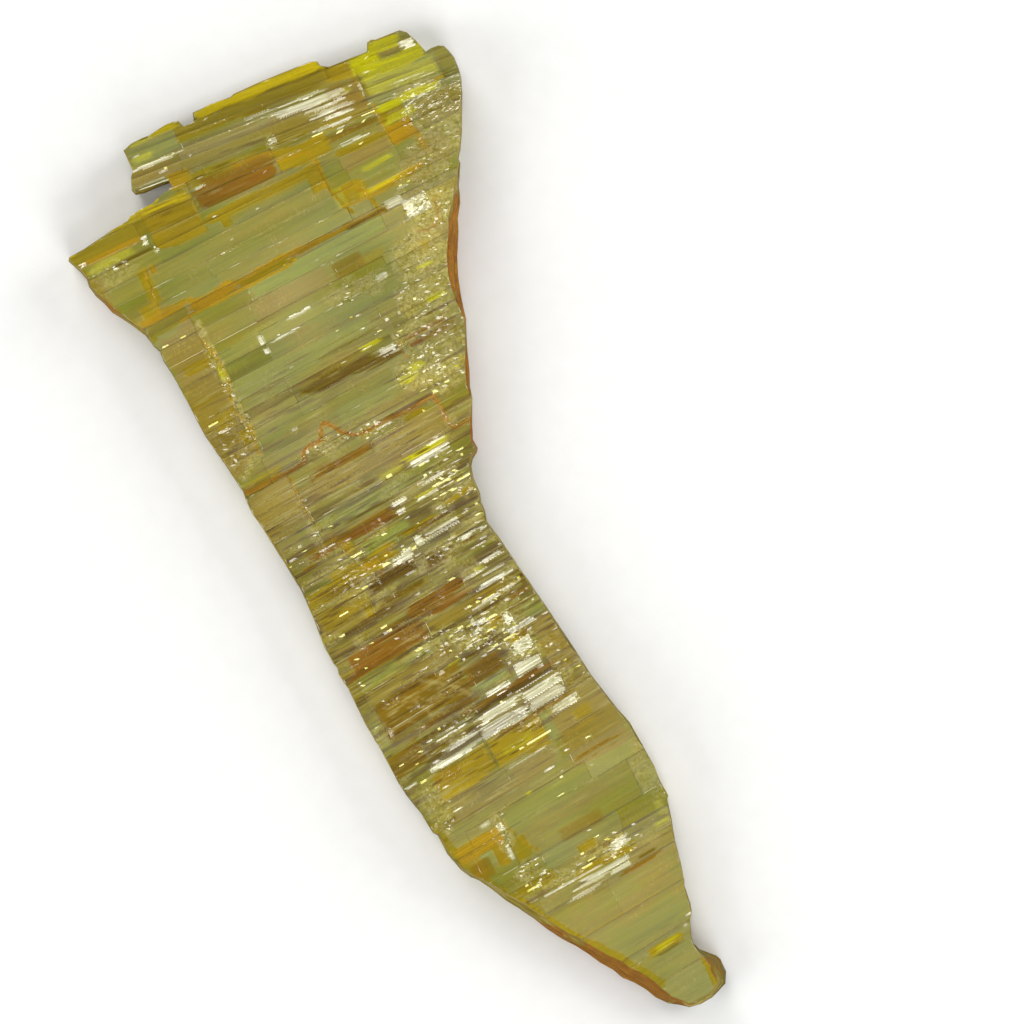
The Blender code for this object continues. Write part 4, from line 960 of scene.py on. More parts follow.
def seam_amount(name, x, y):
    """How strongly the crossing seams of one film show at each point."""
    wx = x + 0.12 * drift(x / 0.9, y / 0.9, 71)
    wy = y + 0.12 * drift(x / 0.9, y / 0.9, 72)
    total = np.zeros(len(x))
    for film, width, amount, points in SEAMS:
        for (ax, ay), (bx, by) in (zip(points, points[1:]) if film == name else ()):
            run = (bx - ax) ** 2 + (by - ay) ** 2
            t = np.clip(((wx - ax) * (bx - ax) + (wy - ay) * (by - ay)) / run, 0, 1)
            far = np.hypot(wx - ax - t * (bx - ax), wy - ay - t * (by - ay))
            total = np.maximum(total, amount * soft(0.5 * width + 0.16, 0.5 * width - 0.04, far))
    return total


def film_masks(x, y, s):
    """Amount of every film at each point, its crossing seams included."""
    return {name: np.maximum(film_amount(name, x, y, s), seam_amount(name, x, y)) for name in FILMS}


print("amber at the waist:", film_amount("amber", *(np.array([v]) for v in (17.0, -6.0, 16.5))))

# %% [markdown]
# ## Finish the mesh
# Split orpiment glitters because every thread leans a little differently.  Those leans are
# far too small to model one by one, so each triangle carries two numbers for its slope, and
# the material turns them into a surface direction.  Other numbers say how thick a film is,
# how lively the threads are and where flakes lie.  Numbers on the mesh cost little and can
# be reused, and a painted image would not follow the threads as closely.

# %% Where threads flash and where crust lies
# where single threads flash: (x, y, half length along x, half width along y, strength)
FLASHING = [
    (1.0, 6.0, 8.0, 3.2, 1.0), (13.5, 3.5, 3.0, 4.5, 1.0), (17.0, 5.6, 2.6, 2.2, 0.9),
    (-10.5, 9.5, 2.0, 2.5, 0.6), (-13.0, 8.0, 1.6, 2.4, 0.5), (38.8, 4.0, 1.4, 3.4, 0.6),
    (37.5, -3.0, 1.4, 2.6, 0.5), (3.0, -1.0, 3.0, 3.0, 0.5), (-38.5, 12.0, 3.0, 3.4, 0.4),
    (-43.0, -6.0, 2.4, 3.0, 0.3), (-2.0, -8.0, 5.0, 3.0, 0.25), (6.0, -8.5, 8.0, 3.0, 0.2),
    (21.5, 0.0, 1.6, 9.0, 0.4), (-20.0, 7.0, 2.0, 4.0, 0.3), (-17.0, 8.0, 1.2, 3.0, 0.5),
    (28.0, 5.0, 3.0, 6.0, 0.15),
]
# where a weathered crust covers the broken side
CRUSTED = [
    (50.0, 0.0, 8.5, 7.0, 1.0), (54.2, 9.2, 3.2, 2.4, 0.55), (-21.8, 16.6, 6.6, 4.0, 1.0),
    (-10.7, 12.8, 2.6, 2.2, 0.9), (-4.6, 10.5, 2.6, 1.8, 0.8), (-31.5, -17.0, 5.0, 2.0, 0.5),
]
# how lively the threads are along the blade: (x, degrees that they tip, how brown their lines are)
LIVELY = np.array([
    (-46, 2.5, 0.2), (-43, 3.5, 0.25), (-40, 4.0, 0.4), (-37, 3.0, 0.3), (-33, 1.6, 0.12),
    (-28, 1.6, 0.15), (-22, 2.2, 0.2), (-17, 3.6, 0.5), (-12, 2.6, 0.4), (-8, 3.6, 0.6),
    (-3, 5.0, 0.9), (4, 6.0, 1.0), (10, 5.5, 1.0), (16, 5.0, 1.0), (22, 4.5, 0.9),
    (26, 3.0, 0.6), (30, 1.8, 0.25), (36, 1.4, 0.15), (40, 3.0, 0.5), (43, 1.2, 0.15), (57, 1.4, 0.15),
]).T
print(len(FLASHING), "flashing patches,", len(CRUSTED), "crusted places")


# %% Crust on the sides, and runs along a thread
def crust_share(x, y, z):
    """How thick the crust lies on the broken sides, ragged along them and up them, 0 to 1."""
    run = x + 0.7 * y
    ragged = 0.55 * drift(run / 1.6, z / 1.2, 131) + 0.30 * drift(run / 0.6, z / 0.5, 132)
    total = np.zeros(len(x))
    for cx, cy, half_x, half_y, strength in CRUSTED:
        far = np.hypot((x - cx) / half_x, (y - cy) / half_y) + ragged
        total = np.maximum(total, strength * soft(1.5, 0.5, far))
    return total


def runs(thread, y, shortest, longest, seed):
    """Number of the run at each point of a thread, and the place in it from 0 to 1."""
    length = shortest + (longest - shortest) * scatter(thread, seed) ** 2
    place = y / length + 40 * scatter(thread, seed + 1)
    return thread * 3.1 + np.floor(place), place - np.floor(place)


print("run of thread 7 at y = 2:", runs(np.array([7]), np.array([2.0]), 0.3, 1.9, 106)[0].round(2))

# %% [markdown]
# ### Lean of each facet
# A face of high refractive index mirrors whatever lies along its line of reflection.  Level
# facets mirror the big lamp overhead and look silky.  Facets over a coloured film are given
# some nine degrees, past that lamp, so the eye sees into the crystal.  Silvery ones are given
# twelve to eighteen degrees sideways, to where the strips of the studio stand, and flash.
# The blade is long, so the lean grows a little with the distance from its middle.

# %% Lean of each facet
VEILS = ("amber", "red", "rust", "deep")                     # films that hide a silvery one
DEPTHS = ("olive", "gold", "honey", "seam", *VEILS)          # films that the eye looks into
LEVEL, INWARD = 3.2, 8.9              # degrees along the threads
DIM, BRIGHTER = 17.6, 4.7             # degrees across them, and how much less at full sheen
PER_MM = 0.047                        # degrees for each millimetre from the middle


def inward_share(films):
    """Where the eye looks into the crystal instead of at its sheen, 0 to 1."""
    inward = np.maximum.reduce([films[name] for name in DEPTHS])
    return soft(0.10, 0.75, np.maximum(inward, 0.6 * films["lemon"]))


def tips(y, s, films):
    """Slopes across and along the threads of each facet, and whether it flashes yellow."""
    thread = np.searchsorted(ROWS, s)
    ledge, piece = ledge_pieces(y, s)
    lined = np.interp(s, LIVELY[0], LIVELY[2])
    wander = drift(thread * 7.3, y / 4.0 + 9 * scatter(thread, 94), 95)
    across = 0.8 * wander + 1.5 * (scatter(ledge, 96) - 0.5)
    # a facet level with the floor mirrors the lamp overhead, and one that leans shows less of it
    along = LEVEL + 2.8 * (scatter(31 * ledge + 7 * piece, 98) - 0.5) + 2.0 * drift(s / 4.0, y / 7.0, 97)
    along = along + 0.7 * drift(thread * 5.1, y / 6.0, 101) + 1.0 * lined
    along = along - 1.6 * films["green"]
    # coloured films are seen where the facet looks away from the lamps, into the crystal
    inward = inward_share(films)
    along = along + inward * (INWARD + PER_MM * y + 0.4 * wander - along)
    across = across * (1 - 0.5 * inward)
    # silvery films lean towards a lamp: full at their middle, weaker at their edge
    veil = 1 - np.maximum.reduce([films[name] for name in VEILS])
    pale = films["pale"]
    silk = 0.62 + 0.34 * drift(s / 1.1, y / 3.0, 102)
    silk = veil * pale * (silk + 0.40 * (1.25 - pale) * (scatter(thread, 103) - 0.5))
    side = np.where(drift(s / 1.2, y / 5.0, 104) > 0, 1.0, -1.0)
    lit = silk > 0.12
    lean = DIM - BRIGHTER * np.clip(silk, 0, 1) - 1.4 * (1.2 - pale) * scatter(thread, 107) ** 2
    # single threads flash along a short run, and most of all where the threads are lively
    run, place = runs(thread, y, 0.3, 1.9, 106)
    flash = scatter(run, 108) < 0.10 * patched(FLASHING, s, y) + 0.02 * films["lemon"] + 0.003
    lean = np.where(flash & ~lit, 12.6 + 4.4 * scatter(run, 109) + 3.0 * np.abs(2 * place - 1) ** 2, lean)
    # in a third of them the light comes back through the crystal, lemon yellow: the lemon colour given to
    # these facets is a painted glint
    spark = flash & ~lit & (scatter(run, 110) < 0.38)
    lean = np.where(spark, 15.4 + 1.4 * scatter(run, 109), lean)
    lit = lit | flash
    across = np.where(lit, side * (lean + 0.4 * wander) + PER_MM * (s - 5.0), across)
    along = np.where(lit, 0.25 * (along - LEVEL), along)
    return np.tan(np.radians(across)), np.tan(np.radians(along)), spark


print("films that the eye looks into:", ", ".join(DEPTHS))


# %% Single threads and flakes
def thread_lines(y, s):
    """Single dark or light threads: -1 for a brown one, 1 for a silvery one, 0 for most; the silvery ones
    are a painted sheen.
    """
    thread = np.searchsorted(ROWS, s)
    run, place = runs(thread, y, 1.5, 9.0, 111)
    lined = np.interp(s, LIVELY[0], LIVELY[2])
    pick = scatter(run, 113)
    strength = (0.3 + 0.7 * scatter(run, 114)) * (1 - np.abs(2 * place - 1) ** 2) * soft(-0.1, 0.6, lined)
    dark = (pick < 0.04 + 0.24 * lined) * strength
    light = (pick > 0.97 - 0.10 * lined) * strength
    # the brink of a ledge is often a line of its own, a painted shade or painted highlight along the step
    ledge, _ = ledge_pieces(y, s)
    brink = soft(0.16, 0.10, s - STARTS[ledge]) * drift(ledge * 4.3, y / 4.0, 115)
    return np.clip(light - dark + (0.25 + 0.65 * lined) * brink, -1, 1)


def glitter(x, y, s):
    """Share of tiny flakes: crushed patches, chipped brinks of ledges and the lively threads."""
    ledge, _ = ledge_pieces(y, s)
    edge = soft(0.22, 0.06, s - STARTS[ledge]) * soft(0.25, 0.7, drift(y / 1.5, ledge * 3.7, 121))
    lined = np.interp(s, LIVELY[0], LIVELY[2])
    spots = 0.8 * soft(0.15, 0.6, drift(s / 0.9, y / 2.2, 122)) * np.clip(lined - 0.3, 0, 1)
    return np.clip(np.maximum.reduce([patched(CRUSHED, x, y), 0.6 * edge, spots]), 0, 1)


print("lines at x = 10:", thread_lines(np.arange(4.0), np.full(4, 10.0)).round(2))

# %% [markdown]
# ### Masks on the mesh
# Points carry what changes slowly, such as films and crust, and Blender blends it across each
# triangle.  Faces carry what changes from facet to facet, such as lean and tone, so it stays
# crisp at the edges.  The mesh's own slope is taken off the lean, which is what is left over.

# %% Numbers for the points
def point_masks(place):
    """Masks for points of the mesh, whose places are given in mm."""
    x, y = place[:, 0], place[:, 1]
    s = striation(x, y)
    masks = film_masks(x, y, s)
    masks["glitter"] = glitter(x, y, s) * (1 - 0.8 * masks["pale"])
    masks["crust"] = crust_share(x, y, place[:, 2])
    masks["across"] = s
    masks["along"] = y
    calm = (1 - 0.5 * inward_share(masks)) * (1 - 0.75 * masks["pale"]) * (1 - 0.6 * masks["glitter"])
    masks["lively"] = calm * np.tan(np.radians(np.interp(s, LIVELY[0], LIVELY[1])))
    masks["lined"] = np.interp(s, LIVELY[0], LIVELY[2])
    return masks


print("each point carries", len(point_masks(np.zeros((1, 3)))), "numbers")


# %% Numbers for the facets
STEEP = 0.93       # faces whose normal points up less than this are not facets


def facet_tone(x, y, s):
    """How light or dark each thread, each piece of a ledge and each cloud is, about 0."""
    thread = np.searchsorted(ROWS, s)
    ledge, piece = ledge_pieces(y, s)
    tone = 0.16 * (scatter(thread, 81) - 0.5) + 0.16 * drift(thread * 2.3, y / 5.0, 82)
    tone += 0.35 * (scatter(ledge, 83) - 0.5) + 0.4 * (scatter(31 * ledge + 7 * piece, 85) - 0.5)
    tone += 0.4 * drift(x / 9.0, y / 7.0, 84) + 0.25 * drift(x / 2.5, y / 3.5, 86)
    return tone


def facet_masks(centre, normal):
    """Masks for facets of the mesh, whose centres are given in mm."""
    x, y = centre[:, 0], centre[:, 1]
    s = striation(x, y)
    across, along, spark = tips(y, s, film_masks(x, y, s))
    upper = normal[:, 2] > 0
    # take off the tip that the facet has already in the mesh
    upright = np.maximum(normal[:, 2], 0.2)
    steep = normal[:, 2] < STEEP
    return {
        "spark": spark & upper,
        "tip": np.where(steep, 0.0, across + normal[:, 0] / upright),
        "tip_along": np.where(steep, 0.0, along + normal[:, 1] / upright),
        "tone": facet_tone(x, y, s),
        "line": thread_lines(y, s) * upper,
    }


LEVEL_FACET = facet_masks(np.array([[5.0, 0.0, 6.0]]), np.array([[0.0, 0.0, 1.0]]))
print("a level facet near the middle:", {name: round(float(v[0]), 3) for name, v in LEVEL_FACET.items()})


# %% Write the mesh and its masks
INSIDE = 0.002     # how far the mesh stays inside the solid model's box, mm


def numbers(group, name):
    """One vector for each point or face of a mesh, as rows of x, y and z."""
    values = np.zeros(len(group) * 3)
    group.foreach_get(name, values)
    return values.reshape(-1, 3)


def keep(mesh, domain, masks):
    """Store numbers for each point or face under their names."""
    for name, values in masks.items():
        layer = mesh.attributes.new(name, "FLOAT", domain)
        layer.data.foreach_set("value", np.asarray(values, np.float32))


def finish_mesh(bm):
    """Triangulate, store the masks, centre and keep inside the solid's box."""
    bmesh.ops.recalc_face_normals(bm, faces=list(bm.faces))
    bmesh.ops.triangulate(bm, faces=list(bm.faces))
    mesh = bpy.data.meshes.new("orpiment_cleavage_blade")
    bm.to_mesh(mesh)
    bm.free()
    place = numbers(mesh.vertices, "co") / MM
    keep(mesh, "POINT", point_masks(place))
    centre, normal = numbers(mesh.polygons, "center") / MM, numbers(mesh.polygons, "normal")
    keep(mesh, "FACE", facet_masks(centre, normal))
    low, high = np.array(CAD_BOX[0]) / MM, np.array(CAD_BOX[1]) / MM
    place -= (CENTRE[0], CENTRE[1], 0.0)
    place[:, :2] = np.clip(place[:, :2], low[:2] + INSIDE, high[:2] - INSIDE)
    place[:, 2] = np.clip(place[:, 2], 0.0, high[2] - INSIDE)
    mesh.vertices.foreach_set("co", (place * MM).ravel())
    mesh.update()
    blade = bpy.data.objects.new("orpiment_cleavage_blade", mesh)
    bpy.context.scene.collection.objects.link(blade)
    return blade


blade = finish_mesh(bm)
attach(blade, "root")
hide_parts(NODE)
print(len(blade.data.polygons), "triangles")

# %% [markdown]
# ## Materials
# A material is a small network of nodes.  It could be drawn by hand in the shader editor,
# but written out it can be read and repeated.  Colours are sRGB hex, as a colour picker
# shows them, and one function turns them linear.  One small function adds any node: its
# settings are the node's own fields, and its inputs are plain values or links.

# %% Colours and nodes
def colour(code):
    """Linear RGBA of an sRGB hex colour."""
    parts = [int(code[i:i + 2], 16) / 255.0 for i in (1, 3, 5)]
    line = [c / 12.92 if c <= 0.04045 else ((c + 0.055) / 1.055) ** 2.4 for c in parts]
    return (*line, 1.0)


def node(tree, kind, settings=None, inputs=None, out=0):
    """Add one node with its settings and links, and return one of its outputs."""
    made = tree.nodes.new("ShaderNode" + kind)
    for name, value in (settings or {}).items():
        setattr(made, name, value)
    for name, value in (inputs or {}).items():
        if isinstance(value, bpy.types.NodeSocket):
            tree.links.new(value, made.inputs[name])
        else:
            made.inputs[name].default_value = value
    return made.outputs[out] if made.outputs else None


def new_material(name):
    """An empty node material and its tree."""
    made = bpy.data.materials.new(name)
    made.use_nodes = True
    made.node_tree.nodes.clear()
    return made, made.node_tree


print("sheet gold is", [round(c, 3) for c in colour("#A68C04")])

# %% [markdown]
# ### Patterns of the cleavage face
# Orpiment splits into threads, so nearly every pattern on the face is long and narrow.  The
# mesh carries two coordinates in millimetres, across and along the threads, and plain noise
# squeezed along them gives streaks.  The numbers are bumps a millimetre across and along.

# %% Noise patterns
PATTERNS = {
    "streak": ((6.5, 0.16, 1.0), 4.0, 0.60),     # threads, about 0.15 mm wide and 6 mm long
    "silk": ((2.0, 0.10, 1.0), 3.0, 0.50),       # bundles of threads, half a millimetre wide
    "cloud": ((0.45, 0.22, 1.0), 4.0, 0.60),     # clouds inside the crystal, 2 to 4 mm
    "band": ((1.3, 0.10, 1.0), 3.0, 0.55),       # deep bands where the threads stand apart
    "speck": ((3.0, 3.0, 1.0), 5.0, 0.70),       # dust and tiny pits, 0.3 mm and less
    "ridge": ((4.6, 0.14, 1.0), 3.0, 0.45),      # ridges of the threads, 0.22 mm wide
    "crack": ((0.5, 1.3, 1.0), 3.0, 0.60),       # hair cracks that run across the threads
}


def face_patterns(tree):
    """Every mask of the mesh and every noise pattern, by name."""
    names = [*FILMS, "glitter", "across", "along", "tone", "tip", "tip_along", "lively", "lined", "line",
             "spark"]
    look = {name: node(tree, "Attribute", {"attribute_name": name}, out="Fac") for name in names}
    look["spot"] = node(tree, "CombineXYZ", {}, {0: look["across"], 1: look["along"]})   # in mm
    for name, (scale, detail, roughness) in PATTERNS.items():
        turned = (0.0, 0.0, 0.5 if name == "crack" else 0.0)
        at = node(tree, "Mapping", {}, {"Vector": look["spot"], "Scale": scale, "Rotation": turned})
        look[name] = node(tree, "TexNoise", {}, {"Vector": at, "Scale": 1.0, "Detail": detail,
                                                 "Roughness": roughness})
    return look


print(len(PATTERNS), "noise patterns")

# %% [markdown]
# ### Colour of the crystal
# Arsenic sulphide takes the blue out of light.  A thin sheet is lemon, a few millimetres of
# it gold, and a thick clear block amber.  The colours could come from real absorption, but
# light would then have to travel through some seventy sheets.  Painting each film with the
# colour that its depth gives is quicker and steadier.

# %% Film colours
# pale is a painted silvery reflection, and lemon and honey are partly a painted glow of light through
# thin sheets
FILM_COLOUR = {
    "green": "#82890D", "tan": "#8E780E", "olive": "#96840A", "gold": "#A88E04", "lemon": "#CCC602",
    "honey": "#E2CA04", "seam": "#B68E04", "pale": "#A49F56", "amber": "#8C660A", "red": "#88560E",
    "rust": "#A8720A", "deep": "#6C5206", "fibre": "#A4904A",
}
print(len(FILM_COLOUR), "film colours for", len(FILMS), "films")


# %% Colour layers
def crystal_colour(tree, look):
    """Body colour, then bands, flakes, films, cracks and single threads over it."""
    toned = node(tree, "Math", {"operation": "MULTIPLY_ADD"},
                 {0: look["tone"], 1: 0.45, 2: look["cloud"]})
    shade = node(tree, "ValToRGB", {}, {0: toned})
    stops = shade.node.color_ramp.elements
    stops[0].position, stops[0].color = 0.22, colour("#81870F")
    stops[1].position, stops[1].color = 0.85, colour("#917F0E")
    stops.new(0.52).color = colour("#88850D")
    layers = []
    # bundles of brownish threads where they are lively
    part = node(tree, "MapRange", {}, {0: look["silk"], 1: 0.44, 2: 0.60, 3: 0.15, 4: 0.75})
    layers.append((node(tree, "Math", {"operation": "MULTIPLY"}, {0: part, 1: look["lined"]}), "#80680C"))
    # dark bands where the eye looks deep between the threads
    band = node(tree, "MapRange", {}, {0: look["band"], 1: 0.54, 2: 0.40, 3: 0.0, 4: 1.0})
    layers.append((node(tree, "Math", {"operation": "MULTIPLY"}, {0: band, 1: look["lined"]}), "#624C08"))
    # tiny flakes: the crushed patches are painted paler, a painted sheen of their many small facets, and
    # the chips are some deep, some pale where the light comes back through them, a painted glint
    cell = node(tree, "TexVoronoi", {"voronoi_dimensions": "2D"},
                {"Vector": look["spot"], "Scale": 4.5}, out="Color")
    chip = node(tree, "SeparateColor", {}, {"Color": cell}, out="Blue")
    part = node(tree, "Math", {"operation": "MULTIPLY"}, {0: look["glitter"], 1: 0.75})
    layers.append((part, "#A4963C"))
    for low, high, strength, code in ((0.25, 0.10, 0.40, "#80700E"), (0.30, 0.80, 0.9, "#BCAE58")):
        part = node(tree, "MapRange", {}, {0: chip, 1: low, 2: high, 3: 0.0, 4: strength})
        part = node(tree, "Math", {"operation": "MULTIPLY"}, {0: part, 1: look["glitter"]})
        layers.append((part, code))
    # every film is a little uneven from streak to streak
    ragged = node(tree, "Math", {"operation": "MULTIPLY_ADD"},
                  {0: look["speck"], 1: 0.5, 2: look["streak"]})
    uneven = node(tree, "MapRange", {}, {0: ragged, 1: 0.55, 2: 0.95, 3: 0.80, 4: 1.45})
    for name, code in FILM_COLOUR.items():
        part = node(tree, "Math", {"operation": "MULTIPLY", "use_clamp": True},
                    {0: look[name], 1: uneven})
        layers.append((part, code))
    # hair cracks, thin and pale, where the crack pattern crosses its middle value
    off = node(tree, "Math", {"operation": "SUBTRACT"}, {0: look["crack"], 1: 0.5})
    off = node(tree, "Math", {"operation": "ABSOLUTE"}, {0: off})
    hair = node(tree, "MapRange", {}, {0: off, 1: 0.014, 2: 0.0, 3: 0.0, 4: 1.0})
    some = node(tree, "MapRange", {}, {0: look["cloud"], 1: 0.50, 2: 0.60, 3: 0.0, 4: 0.45})
    layers.append((node(tree, "Math", {"operation": "MULTIPLY"}, {0: hair, 1: some}), "#B4AE5A"))
    # single threads stand out brown, silvery or, where they flash, lemon: the silvery ones are a painted
    # sheen, the lemon a painted glint, and the light or dark brinks of ledges a painted highlight or
    # painted shade
    for name, high, strength, code in (("line", -1.0, 0.85, "#5E4204"), ("line", 1.0, 0.5, "#B6AE66"),
                                       ("spark", 1.0, 0.95, "#DAD40C")):
        part = node(tree, "MapRange", {}, {0: look[name], 1: 0.0, 2: high, 3: 0.0, 4: strength})
        layers.append((part, code))
    for amount, code in layers:
        shade = node(tree, "Mix", {"data_type": "RGBA"}, {0: amount, 6: shade, 7: colour(code)}, out=2)
    return shade


print("body colours run from", np.round(colour("#81870F"), 3), "to", np.round(colour("#917F0E"), 3))


# %% Light and dark streaks
def crystal_light(tree, look):
    """How light or dark each streak, bundle, speck and piece is, about 1."""
    swing = node(tree, "Math", {"operation": "MULTIPLY_ADD"}, {0: look["lined"], 1: 0.40, 2: 0.10})
    light = node(tree, "MapRange", {}, {0: look["streak"], 1: 0.25, 2: 0.75, 3: -0.5, 4: 0.5})
    light = node(tree, "Math", {"operation": "MULTIPLY_ADD"}, {0: light, 1: swing, 2: 1.0})
    for name, low, high in (("speck", 0.95, 1.05), ("silk", 0.90, 1.10)):
        part = node(tree, "MapRange", {}, {0: look[name], 1: 0.3, 2: 0.7, 3: low, 4: high})
        light = node(tree, "Math", {"operation": "MULTIPLY"}, {0: light, 1: part})
    part = node(tree, "Math", {"operation": "MULTIPLY_ADD"}, {0: look["tone"], 1: 0.28, 2: 1.0})
    return node(tree, "Math", {"operation": "MULTIPLY"}, {0: light, 1: part})


print("streaks differ by up to", 0.10 + 0.40, "of full light")

# %% [markdown]
# ### Relief too fine for the mesh
# Each facet of the mesh has a tip, a slope that it should show.  Multiplied by the
# millimetre coordinates it is a height, and a Bump node turns that height into exactly that
# slope.  Flat flakes and fine ridges are added in the same way.

# %% Facets, flakes and ridges
FLAKES = ((1.3, 0.10), (5.5, 0.13))   # flakes a millimetre, and their slope
RIDGE = 0.36                          # mm, gives the fine ridges the slope that the mask says


def facet_normal(tree, look):
    """Normal of the face with its tipped facets, crushed flakes and fine ridges."""
    facet = node(tree, "Math", {"operation": "MULTIPLY"}, {0: look["tip"], 1: look["across"]})
    facet = node(tree, "Math", {"operation": "MULTIPLY_ADD"},
                 {0: look["tip_along"], 1: look["along"], 2: facet})
    tipped = node(tree, "Bump", {}, {"Strength": 1.0, "Distance": MM, "Height": facet})
    # flat flakes of two sizes, a little longer than wide
    squashed = node(tree, "Mapping", {}, {"Vector": look["spot"], "Scale": (1.0, 0.6, 1.0)})
    flakes = 0.0
    for scale, slope in FLAKES:
        cell = node(tree, "TexVoronoi", {"voronoi_dimensions": "2D"},
                    {"Vector": squashed, "Scale": scale})
        lean = node(tree, "VectorMath", {"operation": "SUBTRACT"},
                    {0: cell.node.outputs["Color"], 1: (0.5, 0.5, 0.5)})
        away = node(tree, "VectorMath", {"operation": "SUBTRACT"},
                    {0: squashed, 1: cell.node.outputs["Position"]})
        rise = node(tree, "VectorMath", {"operation": "DOT_PRODUCT"}, {0: lean, 1: away}, out="Value")
        flakes = node(tree, "Math", {"operation": "MULTIPLY_ADD"}, {0: rise, 1: 2.0 * slope, 2: flakes})
    flakes = node(tree, "Math", {"operation": "MULTIPLY"}, {0: flakes, 1: look["glitter"]})
    tipped = node(tree, "Bump", {}, {"Strength": 1.0, "Distance": MM, "Height": flakes, "Normal": tipped})
    ridge = node(tree, "Math", {"operation": "MULTIPLY"}, {0: look["ridge"], 1: look["lively"]})
    return node(tree, "Bump", {}, {"Strength": 1.0, "Distance": RIDGE * MM, "Height": ridge,
                                   "Normal": tipped})


print("flakes are", [round(1 / scale, 2) for scale, _ in FLAKES], "mm across")

# %% [markdown]
# ### Cleavage face
# Orpiment, freshly split.  Its refractive index is very high, 2.4 to 3.0, so a clean face
# sends back nearly a fifth of the light that falls straight on it.  That gives the eye a
# pearly sheen where a facet mirrors a lamp, and full gold where it doesn't.

# %% Material: orpiment, split along its cleavage
def cleavage_material():
    """The split faces: coloured crystal under a smooth, strongly reflecting surface."""
    made, tree = new_material("orpiment, split along its cleavage")
    look = face_patterns(tree)
    shade = node(tree, "VectorMath", {"operation": "SCALE"},
                 {0: crystal_colour(tree, look), "Scale": crystal_light(tree, look)})
    rough = node(tree, "MapRange", {}, {0: look["speck"], 1: 0.3, 2: 0.7, 3: 0.08, 4: 0.14})
    # light comes back from just under the surface too, so highlights are cream, not white
    shader = node(tree, "BsdfPrincipled", {},
                  {"IOR": 2.4, "Base Color": shade, "Roughness": rough,
                   "Specular Tint": colour("#FFFDF2"), "Normal": facet_normal(tree, look)})
    node(tree, "OutputMaterial", {}, {"Surface": shader})
    return made


blade.data.materials.append(cleavage_material())
print("cleavage face:", len(blade.data.materials[0].node_tree.nodes), "nodes")

# %% [markdown]
# ### Fracture wall
# Across the sheets the crystal breaks dull and layered, like the edge of a pack of paper.
# Weathering makes a golden-brown crust there.  A rough surface of ordinary refractive index
# gives the eye an earthy edge that sets off the shiny face.  The layers come from noise that
# is squeezed flat, because sheets have no exact spacing, as a wave pattern would.

# %% Noise and colour of the broken sides
# size of each noise, in bumps a metre along x, y and z, and its detail
WALL_NOISE = {
    "sheet": ((220, 220, 6500), 3.0),      # single sheets, about 0.15 mm thick
    "packet": ((110, 110, 1500), 2.0),     # packets of about 0.7 mm, which broke together
    "crust": ((900, 900, 1400), 5.0),      # lumps of crust, about 1 mm
    "grain": ((5000, 5000, 5000), 3.0),    # its grit, 0.2 mm
}
# colours by the value of the noise, from deep to raised: darker where deep, a painted shade, and lighter
# where raised, a painted highlight
SHEET_ENDS = ((0.66, "#5A4C08"), (0.84, "#80700E"), (0.98, "#A08A10"), (1.12, "#C4B858"))
CRUST = ((0.55, "#7C4C08"), (0.76, "#9A640A"), (0.95, "#B27E10"))
RAMP = (0.5, 1.3)                          # noise values at the two ends of the colour ramps


def wall_patterns(tree):
    """Noises of the broken sides by name, and the colours of the sheet ends and of the crust."""
    place = node(tree, "TexCoord", {}, {}, out="Object")
    look = {"place": place}
    for name, (scale, detail) in WALL_NOISE.items():
        at = node(tree, "Mapping", {}, {"Vector": place, "Scale": scale})
        look[name] = node(tree, "TexNoise", {}, {"Vector": at, "Scale": 1.0, "Detail": detail,
                                                 "Roughness": 0.6})
    look["layers"] = node(tree, "Math", {"operation": "MULTIPLY_ADD"},
                          {0: look["packet"], 1: 0.8, 2: look["sheet"]})
    look["lumps"] = node(tree, "Math", {"operation": "MULTIPLY_ADD"},
                         {0: look["grain"], 1: 0.5, 2: look["crust"]})
    low, high = RAMP
    # the same noises raise the bump, so the dark colours lie in the hollows as painted shade and the
    # light ones on the raised sheets and lumps as painted highlight
    for name, value, ramp in (("sheet ends", "layers", SHEET_ENDS), ("crust colour", "lumps", CRUST)):
        span = node(tree, "MapRange", {}, {0: look[value], 1: low, 2: high, 3: 0.0, 4: 1.0})
        look[name] = node(tree, "ValToRGB", {}, {0: span})
        stops = look[name].node.color_ramp.elements
        for stop, (level, code) in zip(stops, (ramp[0], ramp[-1])):
            stop.position, stop.color = (level - low) / (high - low), colour(code)
        for level, code in ramp[1:-1]:
            stops.new((level - low) / (high - low)).color = colour(code)
    return look


print("noise of the broken sides:", ", ".join(WALL_NOISE))


